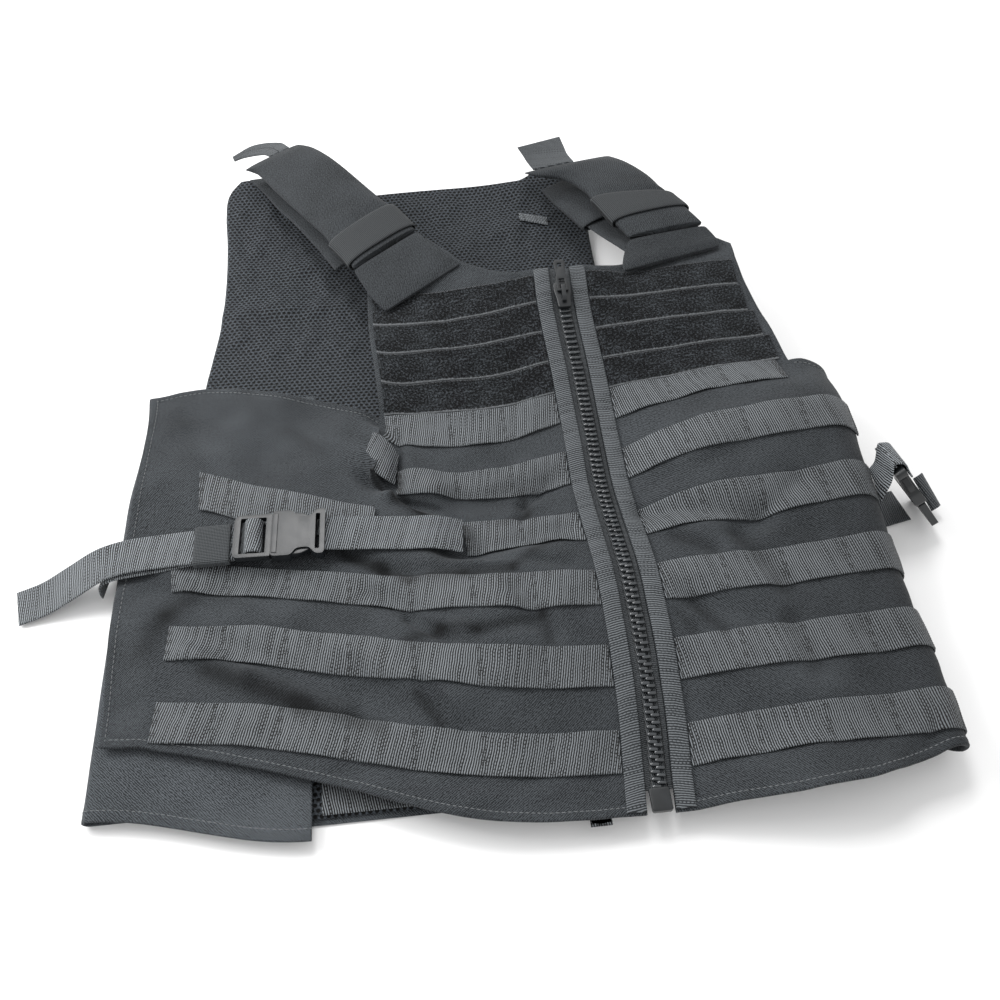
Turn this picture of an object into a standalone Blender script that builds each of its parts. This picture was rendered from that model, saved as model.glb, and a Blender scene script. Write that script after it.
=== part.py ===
"""Tactical vest lying on its back with the zipped front upward.

+X is to the wearer's left as the vest lies, +Y runs from the hem to the neck and +Z is up.
The tables are in millimetres and the solids in metres. The origin is on the floor, under the middle
of the vest's outline.
"""
import math

import bmesh
import bpy
from mathutils import Matrix, Vector

# Driving dimensions in millimetres
MM = 0.001
WEBBING = 25.4            # webbing width, and the gap between two rows
TACK_PITCH = 38.1         # distance between two tack seams along a row
FIRST_TACK = 20.0         # first tack seam, measured from the middle of the zip
CLOTH = 2.2               # front cloth with its lining
WEBBING_THICK = 1.3
LOOP_TAPE_THICK = 1.2
GAP = 0.3                 # clearance between two layers
SEWN_GAP = 0.4            # clearance under a strip on the curved front
ROW_COUNT = 6
BAND_COUNT = 4
TRIM_INNER = 8.0          # edge of the zip binding nearest to the teeth
TRIM_OUTER = 19.6
PANEL_INNER = 8.0
TEETH_HALF = 4.4          # half width of the closed chain of teeth
SLIDER_ALONG = 384.0      # middle of the zip slider
SLIDER_HEIGHT = 4.6       # height of its middle over the cloth
BOX_TOP = 14.6            # top of the box at the foot of the zip
TRIM_TOP = 411.0          # top of the zip's binding
SIDE_X = 251.0            # outermost reach of the side turned round
UNDER_Z = 1.7             # outer face of the cloth that lies under the vest
SHELL = 1.4               # back cloth
MESH = 2.4                # spacer mesh
SHIFT_X = -1.4            # middle of the outline in table coordinates
SHIFT_Y = -3.6

LEFT, RIGHT = -1, 1

# Front sections, one row for each distance along the zip from the hem: the place of the zip's middle
# and the height of the cloth beside it
ZIP_SECTIONS = (
    # along     x       y      z
    (-12.0,   72.0, -322.0,  16.5),
    (0.0,     72.8, -311.0,  14.5),
    (25.4,    75.5, -287.0,  12.0),
    (50.8,    78.0, -261.5,  13.5),
    (76.2,    79.3, -236.5,  16.5),
    (101.6,   79.8, -211.0,  21.0),
    (127.0,   79.8, -185.8,  23.5),
    (152.4,   79.6, -160.5,  24.5),
    (177.8,   78.8, -136.0,  20.5),
    (203.2,   77.6, -111.0,  17.0),
    (228.6,   76.6,  -86.0,  16.0),
    (254.0,   76.4,  -60.5,  18.0),
    (279.4,   76.4,  -35.5,  19.5),
    (304.8,   75.8,  -10.5,  23.5),
    (330.2,   74.6,   13.8,  29.5),
    (355.6,   72.8,   38.0,  36.5),
    (381.0,   71.4,   62.0,  44.0),
    (406.4,   71.6,   85.5,  50.5),
    (430.0,   72.0,  108.0,  52.0),
    (470.0,   72.0,  148.0,  50.0),
)

# Height of the cloth at each station across, one row for each section along
LEFT_STATIONS = (20.0, 58.0, 96.0, 134.0, 172.0, 230.0, 290.0)
LEFT_HEIGHTS = (
    # along   58    96   134   172   230   290   fan
    (-12.0,  16.0, 17.0, 16.0, 14.0, 13.0, 12.5, 1.00),
    (25.4,   14.0, 17.0, 16.5, 15.0, 14.0, 12.5, 1.00),
    (50.8,   15.0, 18.5, 18.0, 16.5, 14.5, 13.0, 1.00),
    (101.6,  24.5, 27.5, 22.5, 17.5, 15.5, 14.0, 1.00),
    (152.4,  27.0, 25.5, 20.5, 17.5, 15.5, 15.0, 0.78),
    (203.2,  13.5, 10.5, 17.0, 19.0, 19.0, 17.5, 1.12),
    (254.0,  17.0, 14.0, 12.0, 19.5, 19.5, 17.5, 1.10),
    (304.8,  18.5, 16.0, 15.0, 17.0, 17.0, 15.5, 1.00),
    (355.6,  30.5, 27.5, 26.0, 22.0, 17.0, 15.0, 1.00),
    (406.4,  45.0, 38.0, 31.0, 25.0, 17.0, 15.0, 0.90),
    (430.0,  48.2, 45.2, 36.0, 27.0, 17.0, 15.0, 0.80),
    (470.0,  48.0, 46.0, 38.0, 28.0, 17.0, 15.0, 0.80),
)
# How far the left wing's rows drift toward the neck at each station
LEFT_FAN = (0.0, 1.0, 5.0, 13.0, 23.0, 38.0, 50.0)
# How far the left chest sags toward the hem, one row for each section along
LEFT_SAG = (
    # along   58    96   134   172
    (203.2,  0.0,  0.0,  0.0,  0.0),
    (228.6,  4.0,  6.0,  8.0,  1.5),
    (254.0,  8.0, 12.0, 14.0,  3.0),
    (279.4, 12.0, 15.0, 15.0,  3.0),
    (304.8,  6.0,  9.0, 13.0,  3.0),
    (330.2,  4.0,  7.0, 13.0,  3.0),
    (355.6,  3.0,  6.0, 12.5,  3.0),
    (381.0,  3.0,  6.0, 10.0,  3.0),
    (406.4,  1.0,  2.0,  3.0,  1.0),
    (430.0,  0.0,  0.0,  0.0,  0.0),
)

# On the right the last station is where the side turns down, at the height in the last column
RIGHT_STATIONS = (20.0, 58.0, 96.0, 134.0)
RIGHT_HEIGHTS = (
    # along   58    96   134  side
    (-12.0,  26.0, 37.0, 37.0, 28.0),
    (25.4,   19.0, 24.0, 27.0, 29.0),
    (50.8,   22.0, 26.0, 27.0, 29.0),
    (101.6,  27.0, 27.0, 31.0, 33.0),
    (152.4,  32.0, 31.0, 36.0, 39.0),
    (203.2,  35.0, 42.0, 47.0, 49.0),
    (254.0,  40.0, 51.0, 56.0, 56.0),
    (304.8,  31.0, 36.0, 41.0, 44.0),
    (355.6,  41.0, 42.0, 44.0, 44.0),
    (406.4,  46.0, 50.0, 51.0, 50.0),
    (470.0,  46.0, 49.0, 49.5, 48.5),
)

# Creases and ridges of the cloth, from a start to an end in across and along, with the half width
# of the fold and its height; a valley has a negative height
FOLDS = (
    # half, start across, along, end across, along, width, height
    (LEFT, 96.0, 184.0, 152.0, 232.0, 11.0, -9.0),
    (LEFT, 152.0, 232.0, 146.0, 300.0, 9.0, -8.0),
    (LEFT, 112.0, 236.0, 134.0, 268.0, 12.0, 5.0),
    (LEFT, 34.0, 190.0, 108.0, 172.0, 9.0, -6.0),
    (LEFT, 60.0, 168.0, 120.0, 160.0, 9.0, 5.0),
    (LEFT, 36.0, 232.0, 96.0, 224.0, 10.0, -5.0),
    (LEFT, 118.0, 116.0, 158.0, 140.0, 8.0, -4.0),
    (LEFT, 52.0, 112.0, 70.0, 140.0, 8.0, -4.0),
    (LEFT, 150.0, 60.0, 282.0, 92.0, 12.0, -4.0),
    (LEFT, 110.0, 66.0, 176.0, 96.0, 10.0, 3.5),
    (LEFT, 205.0, 268.0, 230.0, 234.0, 22.0, -4.0),
    (RIGHT, 24.0, 196.0, 92.0, 178.0, 9.0, -6.0),
    (RIGHT, 80.0, 170.0, 120.0, 196.0, 9.0, -4.0),
    (RIGHT, 34.0, 128.0, 70.0, 108.0, 9.0, -4.0),
    (RIGHT, 40.0, 12.0, 86.0, 22.0, 11.0, 3.5),
    (RIGHT, 138.0, 8.0, 166.0, 30.0, 8.0, -4.0),
)

# Back outline, one row for each section from the hem: half width about the middle of the back
BACK_MIDDLE_X = -39.0
BACK_SECTIONS = (
    #    y    half width
    (-294.0, 163.0),
    (-240.0, 164.0),
    (-180.0, 165.0),
    (-120.0, 165.0),
    (-60.0,  165.0),
    (-10.0,  164.0),
    (38.0,   161.0),
    (64.0,   158.0),
    (107.0,  153.5),
    (156.0,  152.5),
    (203.0,  154.0),
    (238.0,  156.0),
    (262.0,  154.0),
    (276.0,  144.0),
)
NAPE_Y = 254.0
NAPE_HALF = 78.0          # half width of the neck opening of the back
# Height that the back is lifted off the floor: middle of the rise, its reach and its height
BACK_RISES = (
    #   x       y     reach x  reach y  height
    (-172.0,  284.0,   46.0,    60.0,   13.0),
    (96.0,    284.0,   60.0,    70.0,   14.0),
    (-20.0,   262.0,   90.0,    34.0,    7.0),
    (-150.0,  118.0,   60.0,     9.0,    2.6),
    (-120.0,  168.0,   50.0,    11.0,    2.2),
    (40.0,    196.0,   30.0,    16.0,    2.6),
)
WING_FOLD_X = -239.2
WING_LEAF_UP = 6.6        # height of the folded leaf's lower face
WING_END_X = -117.0
WING_TOP_Y = 20.0
WING_LEAN = 7.0           # how far the fold leans inward at the wing's top

COLOURS = {
    "cloth": ((0.030, 0.032, 0.036), 0.85),
    "webbing": ((0.045, 0.047, 0.051), 0.80),
    "loop": ((0.012, 0.012, 0.014), 0.95),
    "mesh": ((0.010, 0.011, 0.013), 0.90),
    "plastic": ((0.020, 0.021, 0.023), 0.40),
    "elastic": ((0.034, 0.036, 0.040), 0.85),
}


# Plain curve and table helpers

def spline(knots, values, at):
    """Smooth curve through the values, held level outside the first and last knot."""
    if at <= knots[0]:
        return values[0]
    if at >= knots[-1]:
        return values[-1]
    index = max(i for i in range(len(knots) - 1) if knots[i] <= at)

    def slope(i):
        low, high = max(i - 1, 0), min(i + 1, len(knots) - 1)
        return (values[high] - values[low]) / (knots[high] - knots[low])

    span = knots[index + 1] - knots[index]
    t = (at - knots[index]) / span
    a = (1 + 2 * t) * (1 - t) ** 2 * values[index]
    b = t * (1 - t) ** 2 * span * slope(index)
    c = t * t * (3 - 2 * t) * values[index + 1]
    d = t * t * (t - 1) * span * slope(index + 1)
    return a + b + c + d


def column(table, index, at):
    return spline([row[0] for row in table], [row[index] for row in table], at)


def smooth_step(low, high, at):
    t = min(max((at - low) / (high - low), 0.0), 1.0)
    return t * t * (3 - 2 * t)


def fold_height(half, across, along):
    total = 0.0
    for side, a0, s0, a1, s1, width, height in FOLDS:
        if side != half:
            continue
        run = Vector((a1 - a0, s1 - s0))
        point = Vector((across - a0, along - s0))
        t = point.dot(run) / run.length_squared
        nearest = min(max(t, 0.0), 1.0)
        distance = (point - run * nearest).length
        if distance < 3 * width:
            total += height * math.exp(-(distance / width) ** 2)
    return total


# The front surface

def front_rest(x, y):
    """Lowest height of the front: on the lining, or at the left on the wing folded over it."""
    on_lining = SHELL + GAP + MESH + back_lift(x, y) + CLOTH + 1.2
    on_wing = WING_LEAF_UP + SHELL + CLOTH + 1.0
    part = smooth_step(-96.0, -118.0, x)
    return on_lining * (1 - part) + on_wing * part


def rest_on(height, rest, softness=1.2):
    return rest + softness * math.log1p(math.exp((height - rest) / softness))


def front_point(half, across, along):
    """Outer face of the front cloth, across from the zip's middle and along from the hem."""
    zip_x = column(ZIP_SECTIONS, 1, along)
    y = column(ZIP_SECTIONS, 2, along)
    zip_z = column(ZIP_SECTIONS, 3, along)
    fold = fold_height(half, across, along)
    if half == LEFT:
        heights = [zip_z] + [column(LEFT_HEIGHTS, i, along) for i in range(1, 7)]
        z = spline(LEFT_STATIONS, heights, across) + fold
        y += spline(LEFT_STATIONS, LEFT_FAN, across) * column(LEFT_HEIGHTS, 7, along)
        sag = [0.0] + [column(LEFT_SAG, i, along) for i in range(1, 5)] + [0.0, 0.0]
        y -= spline(LEFT_STATIONS, sag, across)
        return Vector((zip_x - across, y, rest_on(z, front_rest(zip_x - across, y))))
    heights = [zip_z] + [column(RIGHT_HEIGHTS, i, along) for i in range(1, 5)]
    radius = (heights[-1] - UNDER_Z) / 2
    turn = SIDE_X - radius - zip_x
    if across <= turn:
        z = spline(RIGHT_STATIONS + (turn,), heights, across) + fold * smooth_step(0, 12, turn - across)
        return Vector((zip_x + across, y, z))
    angle = (across - turn) / radius
    if angle < math.pi:
        x = zip_x + turn + radius * math.sin(angle)
        return Vector((x, y, UNDER_Z + radius * (1 + math.cos(angle))))
    return Vector((zip_x + turn - (across - turn - math.pi * radius), y, UNDER_Z))


def front_normal(half, across, along):
    step = 4.0
    low = max(across - step, 0.0)
    du = front_point(half, across + step, along) - front_point(half, low, along)
    dv = front_point(half, across, along + step) - front_point(half, across, along - step)
    return (du.cross(dv) if half == RIGHT else dv.cross(du)).normalized()


def front_layer(half, across, along, height):
    return front_point(half, across, along) + front_normal(half, across, along) * height


# Outline of the front in across and along

def hem_along(half, across):
    """The hem rises a little toward the side, and more where the right side is turned under."""
    under = 0.0
    if half == RIGHT:
        under = 7.0 * smooth_step(110.0, 170.0, across) + 12.0 * smooth_step(186.0, 214.0, across)
    return 0.084 * max(across - 60.0, 0.0) * smooth_step(60.0, 170.0, across) + under


def wing_reach(along):
    return spline((0.0, 76.0, 150.0, 254.0, 300.0), (311.0, 319.0, 318.0, 309.0, 311.0), along)


CHEST_EDGE = 146.0
WING_TOP = 296.0
# Neck edge and shoulder top of the front: along at each place across, for both halves
NECK_EDGE = (
    # across left  right
    (8.0,   412.0, 412.0),
    (30.0,  413.0, 413.0),
    (45.0,  417.0, 415.0),
    (60.0,  424.0, 422.0),
    (72.0,  431.0, 432.0),
    (84.0,  444.0, 440.0),
    (103.0, 462.0, 444.0),
    (125.0, 444.0, 436.0),
    (146.0, 424.0, 416.0),
)


def wing_top(across):
    """The top of the wing, a little higher at the chest and lower at its outer corner."""
    toward_chest = 6.0 * smooth_step(172.0, CHEST_EDGE, across)
    return WING_TOP + toward_chest - 11.0 * smooth_step(265.0, 312.0, across)


def chest_reach(half, along):
    narrow = 10.0 if half == RIGHT else 0.0
    return CHEST_EDGE - narrow * smooth_step(310.0, 400.0, along)


# Mesh makers: every solid is a closed mesh

def add_object(name, mesh, colour, smooth=False):
    mesh.name = name
    obj = bpy.data.objects.new(name, mesh)
    PARTS.objects.link(obj)
    mesh.materials.clear()
    mesh.materials.append(MATERIALS[colour])
    if smooth:
        mesh.shade_smooth()
        mesh.set_sharp_from_angle(angle=math.radians(35))
    return obj


def mesh_from(name, points, faces):
    shift = Vector((SHIFT_X, SHIFT_Y, 0.0))
    mesh = bpy.data.meshes.new(name)
    mesh.from_pydata([tuple((p - shift) * MM) for p in points], [], faces)
    mesh.update()
    work = bmesh.new()
    work.from_mesh(mesh)
    bmesh.ops.recalc_face_normals(work, faces=work.faces)
    work.to_mesh(mesh)
    work.free()
    return mesh


def sheet(name, outer, inner, colour, cells=None):
    """Closed sheet between two equal grids; cells says which squares of the grid are cloth."""
    rows, cols = len(outer), len(outer[0])
    cells = cells or {(r, c) for r in range(rows - 1) for c in range(cols - 1)}
    used = sorted({(r + i, c + j) for r, c in cells for i in (0, 1) for j in (0, 1)})
    index = {key: i for i, key in enumerate(used)}
    count = len(used)
    points = [outer[r][c] for r, c in used] + [inner[r][c] for r, c in used]
    faces = []
    for r, c in sorted(cells):
        a, b = index[(r, c)], index[(r, c + 1)]
        d, e = index[(r + 1, c)], index[(r + 1, c + 1)]
        faces += [(a, b, e), (a, e, d)]
        faces += [(a + count, e + count, b + count), (a + count, d + count, e + count)]
        for neighbour, start, end in (((r - 1, c), b, a), ((r + 1, c), d, e),
                                      ((r, c - 1), a, d), ((r, c + 1), e, b)):
            if neighbour not in cells:
                faces += [(start, end, end + count), (start, end + count, start + count)]
    return add_object(name, mesh_from(name, points, faces), colour)


def loft(name, rings, colour, smooth=False, closed=False):
    """Closed solid through equal rings of points, capped at both ends unless it runs in a loop."""
    count = len(rings[0])
    points = [p for ring in rings for p in ring]
    faces = []
    for r in range(len(rings) if closed else len(rings) - 1):
        after = (r + 1) % len(rings)
        for i in range(count):
            j = (i + 1) % count
            faces.append((r * count + i, r * count + j, after * count + j, after * count + i))
    if not closed:
        faces.append(tuple(range(count)))
        faces.append(tuple((len(rings) - 1) * count + i for i in range(count)))
    return add_object(name, mesh_from(name, points, faces), colour, smooth)


def smooth_path(points, pieces):
    """Points along a smooth curve through the given ones, with equal pieces between two of them."""
    knots = [float(i) for i in range(len(points))]
    steps = [i / pieces for i in range((len(points) - 1) * pieces + 1)]
    return [Vector(spline(knots, [p[k] for p in points], t) for k in range(3)) for t in steps]


def strap(name, points, width, thick, colour, across=None, pieces=3):
    """Flat strap whose middle line follows the points; across turns its width."""
    path = smooth_path(points, pieces)
    rings = []
    for i, point in enumerate(path):
        ahead = path[min(i + 1, len(path) - 1)] - path[max(i - 1, 0)]
        ahead.normalize()
        side = Vector(across) if across else ahead.cross(Vector((0, 0, 1)))
        side = (side - ahead * side.dot(ahead)).normalized()
        up = side.cross(ahead).normalized()
        w, t = side * (width / 2), up * (thick / 2)
        rings.append([point - w - t, point + w - t, point + w + t, point - w + t])
    return loft(name, rings, colour)


# Front pieces

def columns_between(low, high, cell):
    count = max(1, round((high - low) / cell))
    return [low + (high - low) * i / count for i in range(count + 1)]


TACKS = [FIRST_TACK + TACK_PITCH * i for i in range(8)]
HALF_TACKS = sorted(TACKS + [t + TACK_PITCH / 2 for t in TACKS[:-1]])
EDGE_SEAM = CHEST_EDGE - 4.0
PANEL_COLUMNS = [PANEL_INNER] + [u for u in HALF_TACKS if u < 140] + [EDGE_SEAM, CHEST_EDGE]
PANEL_COLUMNS += [u for u in HALF_TACKS if u > 150] + [312.0]
CHEST_COLUMN = PANEL_COLUMNS.index(CHEST_EDGE)
LAST_SEAM = WEBBING * 16
# Lines above the last seam are numbered from here by their part of the way to the neck edge
NECK_BASE = 1000.0
NECK_STEPS = (NECK_BASE + 1 / 3, NECK_BASE + 2 / 3, NECK_BASE + 1)


def neck_part(half, across, line):
    """Along at a part of the way from the last band seam to the neck edge."""
    top = column(NECK_EDGE, 1 if half == LEFT else 2, across)
    return LAST_SEAM + (top - LAST_SEAM) * (line - NECK_BASE)


def panel_lines():
    """Section lines of a front half: both edges of every row, the band seams and the gap middles."""
    lines = [0.0]
    for k in range(1, 17):
        if k % 2 == 1 and 1 < k < 12:
            lines.append(WEBBING * (k - 0.5))
        lines.append(WEBBING * k)
    return lines + list(NECK_STEPS)


def panel_place(half, line, across):
    """Across and along of a panel corner, after the outline has moved it."""
    along = line
    if line == 0.0:
        along = hem_along(half, across)
    if line == WEBBING:
        along = max(line, hem_along(half, across) + 6.0)
    if line > LAST_SEAM:
        along = neck_part(half, across, line)
    if across > CHEST_EDGE and line > WING_TOP:
        along = wing_top(across)
    if across in (EDGE_SEAM, CHEST_EDGE) and line > WING_TOP:
        across -= CHEST_EDGE - chest_reach(half, along)
    if across == PANEL_COLUMNS[-1]:
        across = wing_reach(along)
    return across, along


def front_panel(half, name):
    lines = panel_lines()
    outer, inner = [], []
    for line in lines:
        places = [panel_place(half, line, across) for across in PANEL_COLUMNS]
        outer.append([front_layer(half, u, s, 0.0) for u, s in places])
        inner.append([front_layer(half, u, s, -CLOTH) for u, s in places])
    wing_lines = max(i for i, line in enumerate(lines) if line <= WEBBING * 12)
    cells = set()
    for r in range(len(lines) - 1):
        for c in range(len(PANEL_COLUMNS) - 1):
            if c < CHEST_COLUMN or r < wing_lines:
                cells.add((r, c))
    sheet(name, outer, inner, "cloth", cells)


def between(stops, at):
    """The two stops on either side of a place and the part of the way between them."""
    after = next((i for i, stop in enumerate(stops) if stop >= at), len(stops) - 1)
    if after == 0 or stops[after] == at:
        return stops[after], stops[after], 0.0
    low, high = stops[after - 1], stops[after]
    return low, high, (at - low) / (high - low)


def on_panel(half, across, along, height):
    """Point over the flat facets of the panel, between the columns and lines beside it."""
    columns = list(PANEL_COLUMNS)
    if along > WING_TOP:
        for i in (CHEST_COLUMN - 1, CHEST_COLUMN):
            columns[i] -= CHEST_EDGE - chest_reach(half, along)
    lines = [line for line in panel_lines() if line <= LAST_SEAM]
    low_u, high_u, part_u = between(columns, across)
    low_s, high_s, part_s = between(lines, along) if 0.0 < along < LAST_SEAM else (along, along, 0.0)
    if across < PANEL_INNER:
        low_u, high_u, part_u = across, across, 0.0
    rows = [front_layer(half, low_u, s, height).lerp(front_layer(half, high_u, s, height), part_u)
            for s in (low_s, high_s)]
    return rows[0].lerp(rows[1], part_s)


def front_strip(half, name, low, high, start, end, thick, colour, lift=SEWN_GAP, lines=None):
    """Strip sewn on the front between two lines along and two places across."""
    inside = [u for u in PANEL_COLUMNS if start + 1.0 < u < end - 1.0]
    places = [start] + inside + [end]
    lines = lines or [low + GAP, high - GAP]
    outer = [[on_panel(half, u, s, lift + thick) for u in places] for s in lines]
    inner = [[on_panel(half, u, s, lift) for u in places] for s in lines]
    sheet(name, outer, inner, colour)


# How far each row reaches from the zip, counted from the neck: left and right
ROW_REACH = (
    # left   right
    (142.0, 137.5),
    (153.35, 176.0),
    (96.2, 172.4),
    (284.0, 284.0),
    (284.0, 284.0),
    (284.0, 190.0),
)


def rows_and_bands(half, side):
    for index in range(ROW_COUNT):
        low = WEBBING * (11 - 2 * index)
        reach = ROW_REACH[index][0 if half == LEFT else 1]
        front_strip(half, f"webbing_row_{side}_{index + 1}", low, low + WEBBING, FIRST_TACK, reach,
                    WEBBING_THICK, "webbing")
    if half == LEFT:
        front_strip(half, "webbing_row_left_3_wing", WEBBING * 7, WEBBING * 8, 153.35, 267.0,
                    WEBBING_THICK, "webbing")
    for index in range(BAND_COUNT):
        low = WEBBING * (15 - index)
        end = EDGE_SEAM - (CHEST_EDGE - chest_reach(half, low + WEBBING))
        front_strip(half, f"loop_band_{side}_{index + 1}", low, low + WEBBING, FIRST_TACK, end,
                    LOOP_TAPE_THICK, "loop")


def zip_pieces(half, side):
    lines = [s for s in panel_lines() if 0.0 < s <= LAST_SEAM]
    front_strip(half, f"zip_trim_{side}", 0, 0, TRIM_INNER, TRIM_OUTER - GAP, WEBBING_THICK, "webbing",
                lines=[1.0] + lines + [TRIM_TOP])
    front_strip(half, f"zip_tape_{side}", 0, 0, 0.4, TRIM_INNER - GAP, 0.9, "webbing", lift=-1.2,
                lines=[BOX_TOP] + lines + [TRIM_TOP])


def zip_chain():
    """The closed teeth as one bar, with the box and pin at the hem."""
    low, high = BOX_TOP, SLIDER_ALONG - 11.6
    lines = [low] + [s for s in panel_lines() if low < s < high] + [high]
    rings = []
    for along in lines:
        base = [on_panel(RIGHT, 0.0, along, h) for h in (0.0, 2.4)]
        side = Vector((TEETH_HALF, 0, 0))
        rings.append([base[0] - side, base[0] + side, base[1] + side, base[1] - side])
    loft("zip_teeth", rings, "plastic")
    base = front_layer(RIGHT, 0.0, BOX_TOP / 2, 1.0)
    block("zip_end_box", base, (11.5, BOX_TOP - 1.4, 4.2), "plastic", bevel=0.8)


# Hard pieces from primitives and outlines

def place(obj, matrix):
    """Places a solid that was modelled about its own origin in millimetres."""
    shift = Matrix.Translation(Vector((-SHIFT_X, -SHIFT_Y, 0.0)) * MM)
    scaled = matrix.copy()
    scaled.translation = matrix.translation * MM
    obj.matrix_world = shift @ scaled
    return obj


def block(name, centre, size, colour, bevel=0.0, matrix=None):
    work = bmesh.new()
    bmesh.ops.create_cube(work, size=1.0)
    bmesh.ops.scale(work, verts=work.verts, vec=Vector(size) * MM)
    mesh = bpy.data.meshes.new(name)
    work.to_mesh(mesh)
    work.free()
    obj = add_object(name, mesh, colour)
    place(obj, matrix or Matrix.Translation(centre))
    if bevel:
        round_edges(obj, bevel)
    return obj


def outline_solid(name, outlines, thick, colour, matrix, bevel=0.0):
    """Flat piece cut to an outline, with a hole for each further outline."""
    curve = bpy.data.curves.new(name, "CURVE")
    curve.dimensions = "2D"
    curve.fill_mode = "BOTH"
    curve.extrude = thick / 2 * MM
    for points in outlines:
        line = curve.splines.new("POLY")
        line.points.add(len(points) - 1)
        for target, (x, y) in zip(line.points, points):
            target.co = (x * MM, y * MM, 0.0, 1.0)
        line.use_cyclic_u = True
    source = bpy.data.objects.new(name + "_outline", curve)
    bpy.context.scene.collection.objects.link(source)
    evaluated = source.evaluated_get(bpy.context.evaluated_depsgraph_get())
    mesh = bpy.data.meshes.new_from_object(evaluated)
    bpy.data.objects.remove(source)
    work = bmesh.new()
    work.from_mesh(mesh)
    bmesh.ops.remove_doubles(work, verts=work.verts, dist=0.00001)
    bmesh.ops.recalc_face_normals(work, faces=work.faces)
    work.to_mesh(mesh)
    work.free()
    obj = place(add_object(name, mesh, colour), matrix)
    if bevel:
        round_edges(obj, bevel)
    return obj


def round_edges(obj, width):
    edge = obj.modifiers.new("rounded edges", "BEVEL")
    edge.width = width * MM
    edge.segments = 1
    edge.limit_method = "ANGLE"
    edge.angle_limit = math.radians(50)


def rectangle(x0, y0, x1, y1):
    return [(x0, y0), (x1, y0), (x1, y1), (x0, y1)]


BUCKLE_HALF = 17.2        # half of the buckle's width
BUCKLE_THICK = 7.0
BODY_LENGTH = 34.0
LADDER_LENGTH = 24.0


def buckle(side, matrix):
    """Side release buckle along its own X: the body from 0 on, the ladder part before it."""
    half, length = BUCKLE_HALF, BODY_LENGTH
    upper = [(0.0, half - 1.5), (2.0, half), (14.0, half), (17.0, half - 5.5), (25.0, half - 5.5),
             (28.5, half), (length - 1.0, half), (length, half - 2.0)]
    lower = [(x, -y) for x, y in reversed(upper)]
    bar_slot = rectangle(length - 6.0, -WEBBING / 2 - 0.8, length - 3.2, WEBBING / 2 + 0.8)
    outline_solid(f"buckle_body_{side}", [upper + lower, bar_slot], BUCKLE_THICK, "plastic", matrix,
                  bevel=0.9)
    left = -LADDER_LENGTH
    frame = [(left + 2.0, -half + 1.0), (-GAP, -half + 1.0), (-GAP, half - 1.0), (left + 2.0, half - 1.0),
             (left, half - 4.0), (left, -half + 4.0)]
    slots = [rectangle(x, -WEBBING / 2 - 0.8, x + 6.4, WEBBING / 2 + 0.8)
             for x in (left + 4.0, left + 14.0)]
    outline_solid(f"buckle_ladder_{side}", [frame] + slots, 4.6, "plastic", matrix, bevel=0.7)


def turned(centre, angles):
    """Matrix of a place and three turns in degrees, about X, then Y, then Z."""
    turn = Matrix.Identity(3)
    for angle, axis in zip(angles, "XYZ"):
        turn = Matrix.Rotation(math.radians(angle), 3, axis) @ turn
    matrix = turn.to_4x4()
    matrix.translation = Vector(centre)
    return matrix


# Slider and its tab

TAB_LENGTH = 25.0


def slider_frame(along, height):
    """Matrix on the zip with X across, Y along and Z out of the cloth."""
    point = front_layer(RIGHT, 0.0, along, height)
    ahead = (front_point(RIGHT, 0.0, along + 6) - front_point(RIGHT, 0.0, along - 6)).normalized()
    out = Vector((1, 0, 0)).cross(ahead).normalized()
    across = ahead.cross(out)
    matrix = Matrix((across, ahead, out)).transposed().to_4x4()
    matrix.translation = point
    return matrix


def slider():
    body = slider_frame(SLIDER_ALONG, SLIDER_HEIGHT)
    half = 6.4
    outline = [(-4.6, -11.0), (4.6, -11.0), (5.2, -4.0), (half, 3.0), (half, 8.5), (3.6, 11.0),
               (-3.6, 11.0), (-half, 8.5), (-half, 3.0), (-5.2, -4.0)]
    plate = outline_solid("zip_slider", [outline], 3.6, "plastic", body, bevel=0.5)
    crown = outline_solid("crown_cutter", [[(-7.5, 1.0), (7.5, 1.0), (7.5, 4.4), (5.0, 6.4), (-5.0, 6.4),
                                            (-7.5, 4.4)],
                                           [(-4.5, 1.2), (4.5, 1.2), (4.5, 3.8), (3.6, 4.6), (-3.6, 4.6),
                                            (-4.5, 3.8)]], 3.0, "plastic",
                          body @ turned((0, 0, 0), (90, 0, 90)))
    join = plate.modifiers.new("crown", "BOOLEAN")
    join.operation = "UNION"
    join.object = crown
    PARTS.objects.unlink(crown)
    CUTTERS.objects.link(crown)
    crown.hide_render = True
    crown.display_type = "WIRE"


def pull_tab():
    """Tab lying toward the neck; its end bar runs under the slider's crown."""
    hinge = slider_frame(SLIDER_ALONG, SLIDER_HEIGHT) @ Matrix.Translation(Vector((0.0, 2.4, 3.2)))
    outline = [(-4.2, -1.0), (4.2, -1.0), (4.2, 9.0), (3.4, 13.0), (4.4, TAB_LENGTH - 2.0),
               (3.2, TAB_LENGTH), (-3.2, TAB_LENGTH), (-4.4, TAB_LENGTH - 2.0), (-3.4, 13.0), (-4.2, 9.0)]
    slot = rectangle(-2.2, 0.9, 2.2, 9.0)
    eye = rectangle(-1.7, TAB_LENGTH - 6.0, 1.7, TAB_LENGTH - 2.6)
    outline_solid("pull_tab", [outline, slot, eye], 1.6, "plastic", hinge)


# Back pieces

def back_lift(x, y):
    lift = sum(h * math.exp(-((x - cx) / rx) ** 2 - ((y - cy) / ry) ** 2)
               for cx, cy, rx, ry, h in BACK_RISES)
    over_side = 4.4 * smooth_step(82.0, 112.0, x) * (1 - smooth_step(20.0, 70.0, y))
    return lift + over_side


BACK_HEM_Y = -294.0


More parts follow.
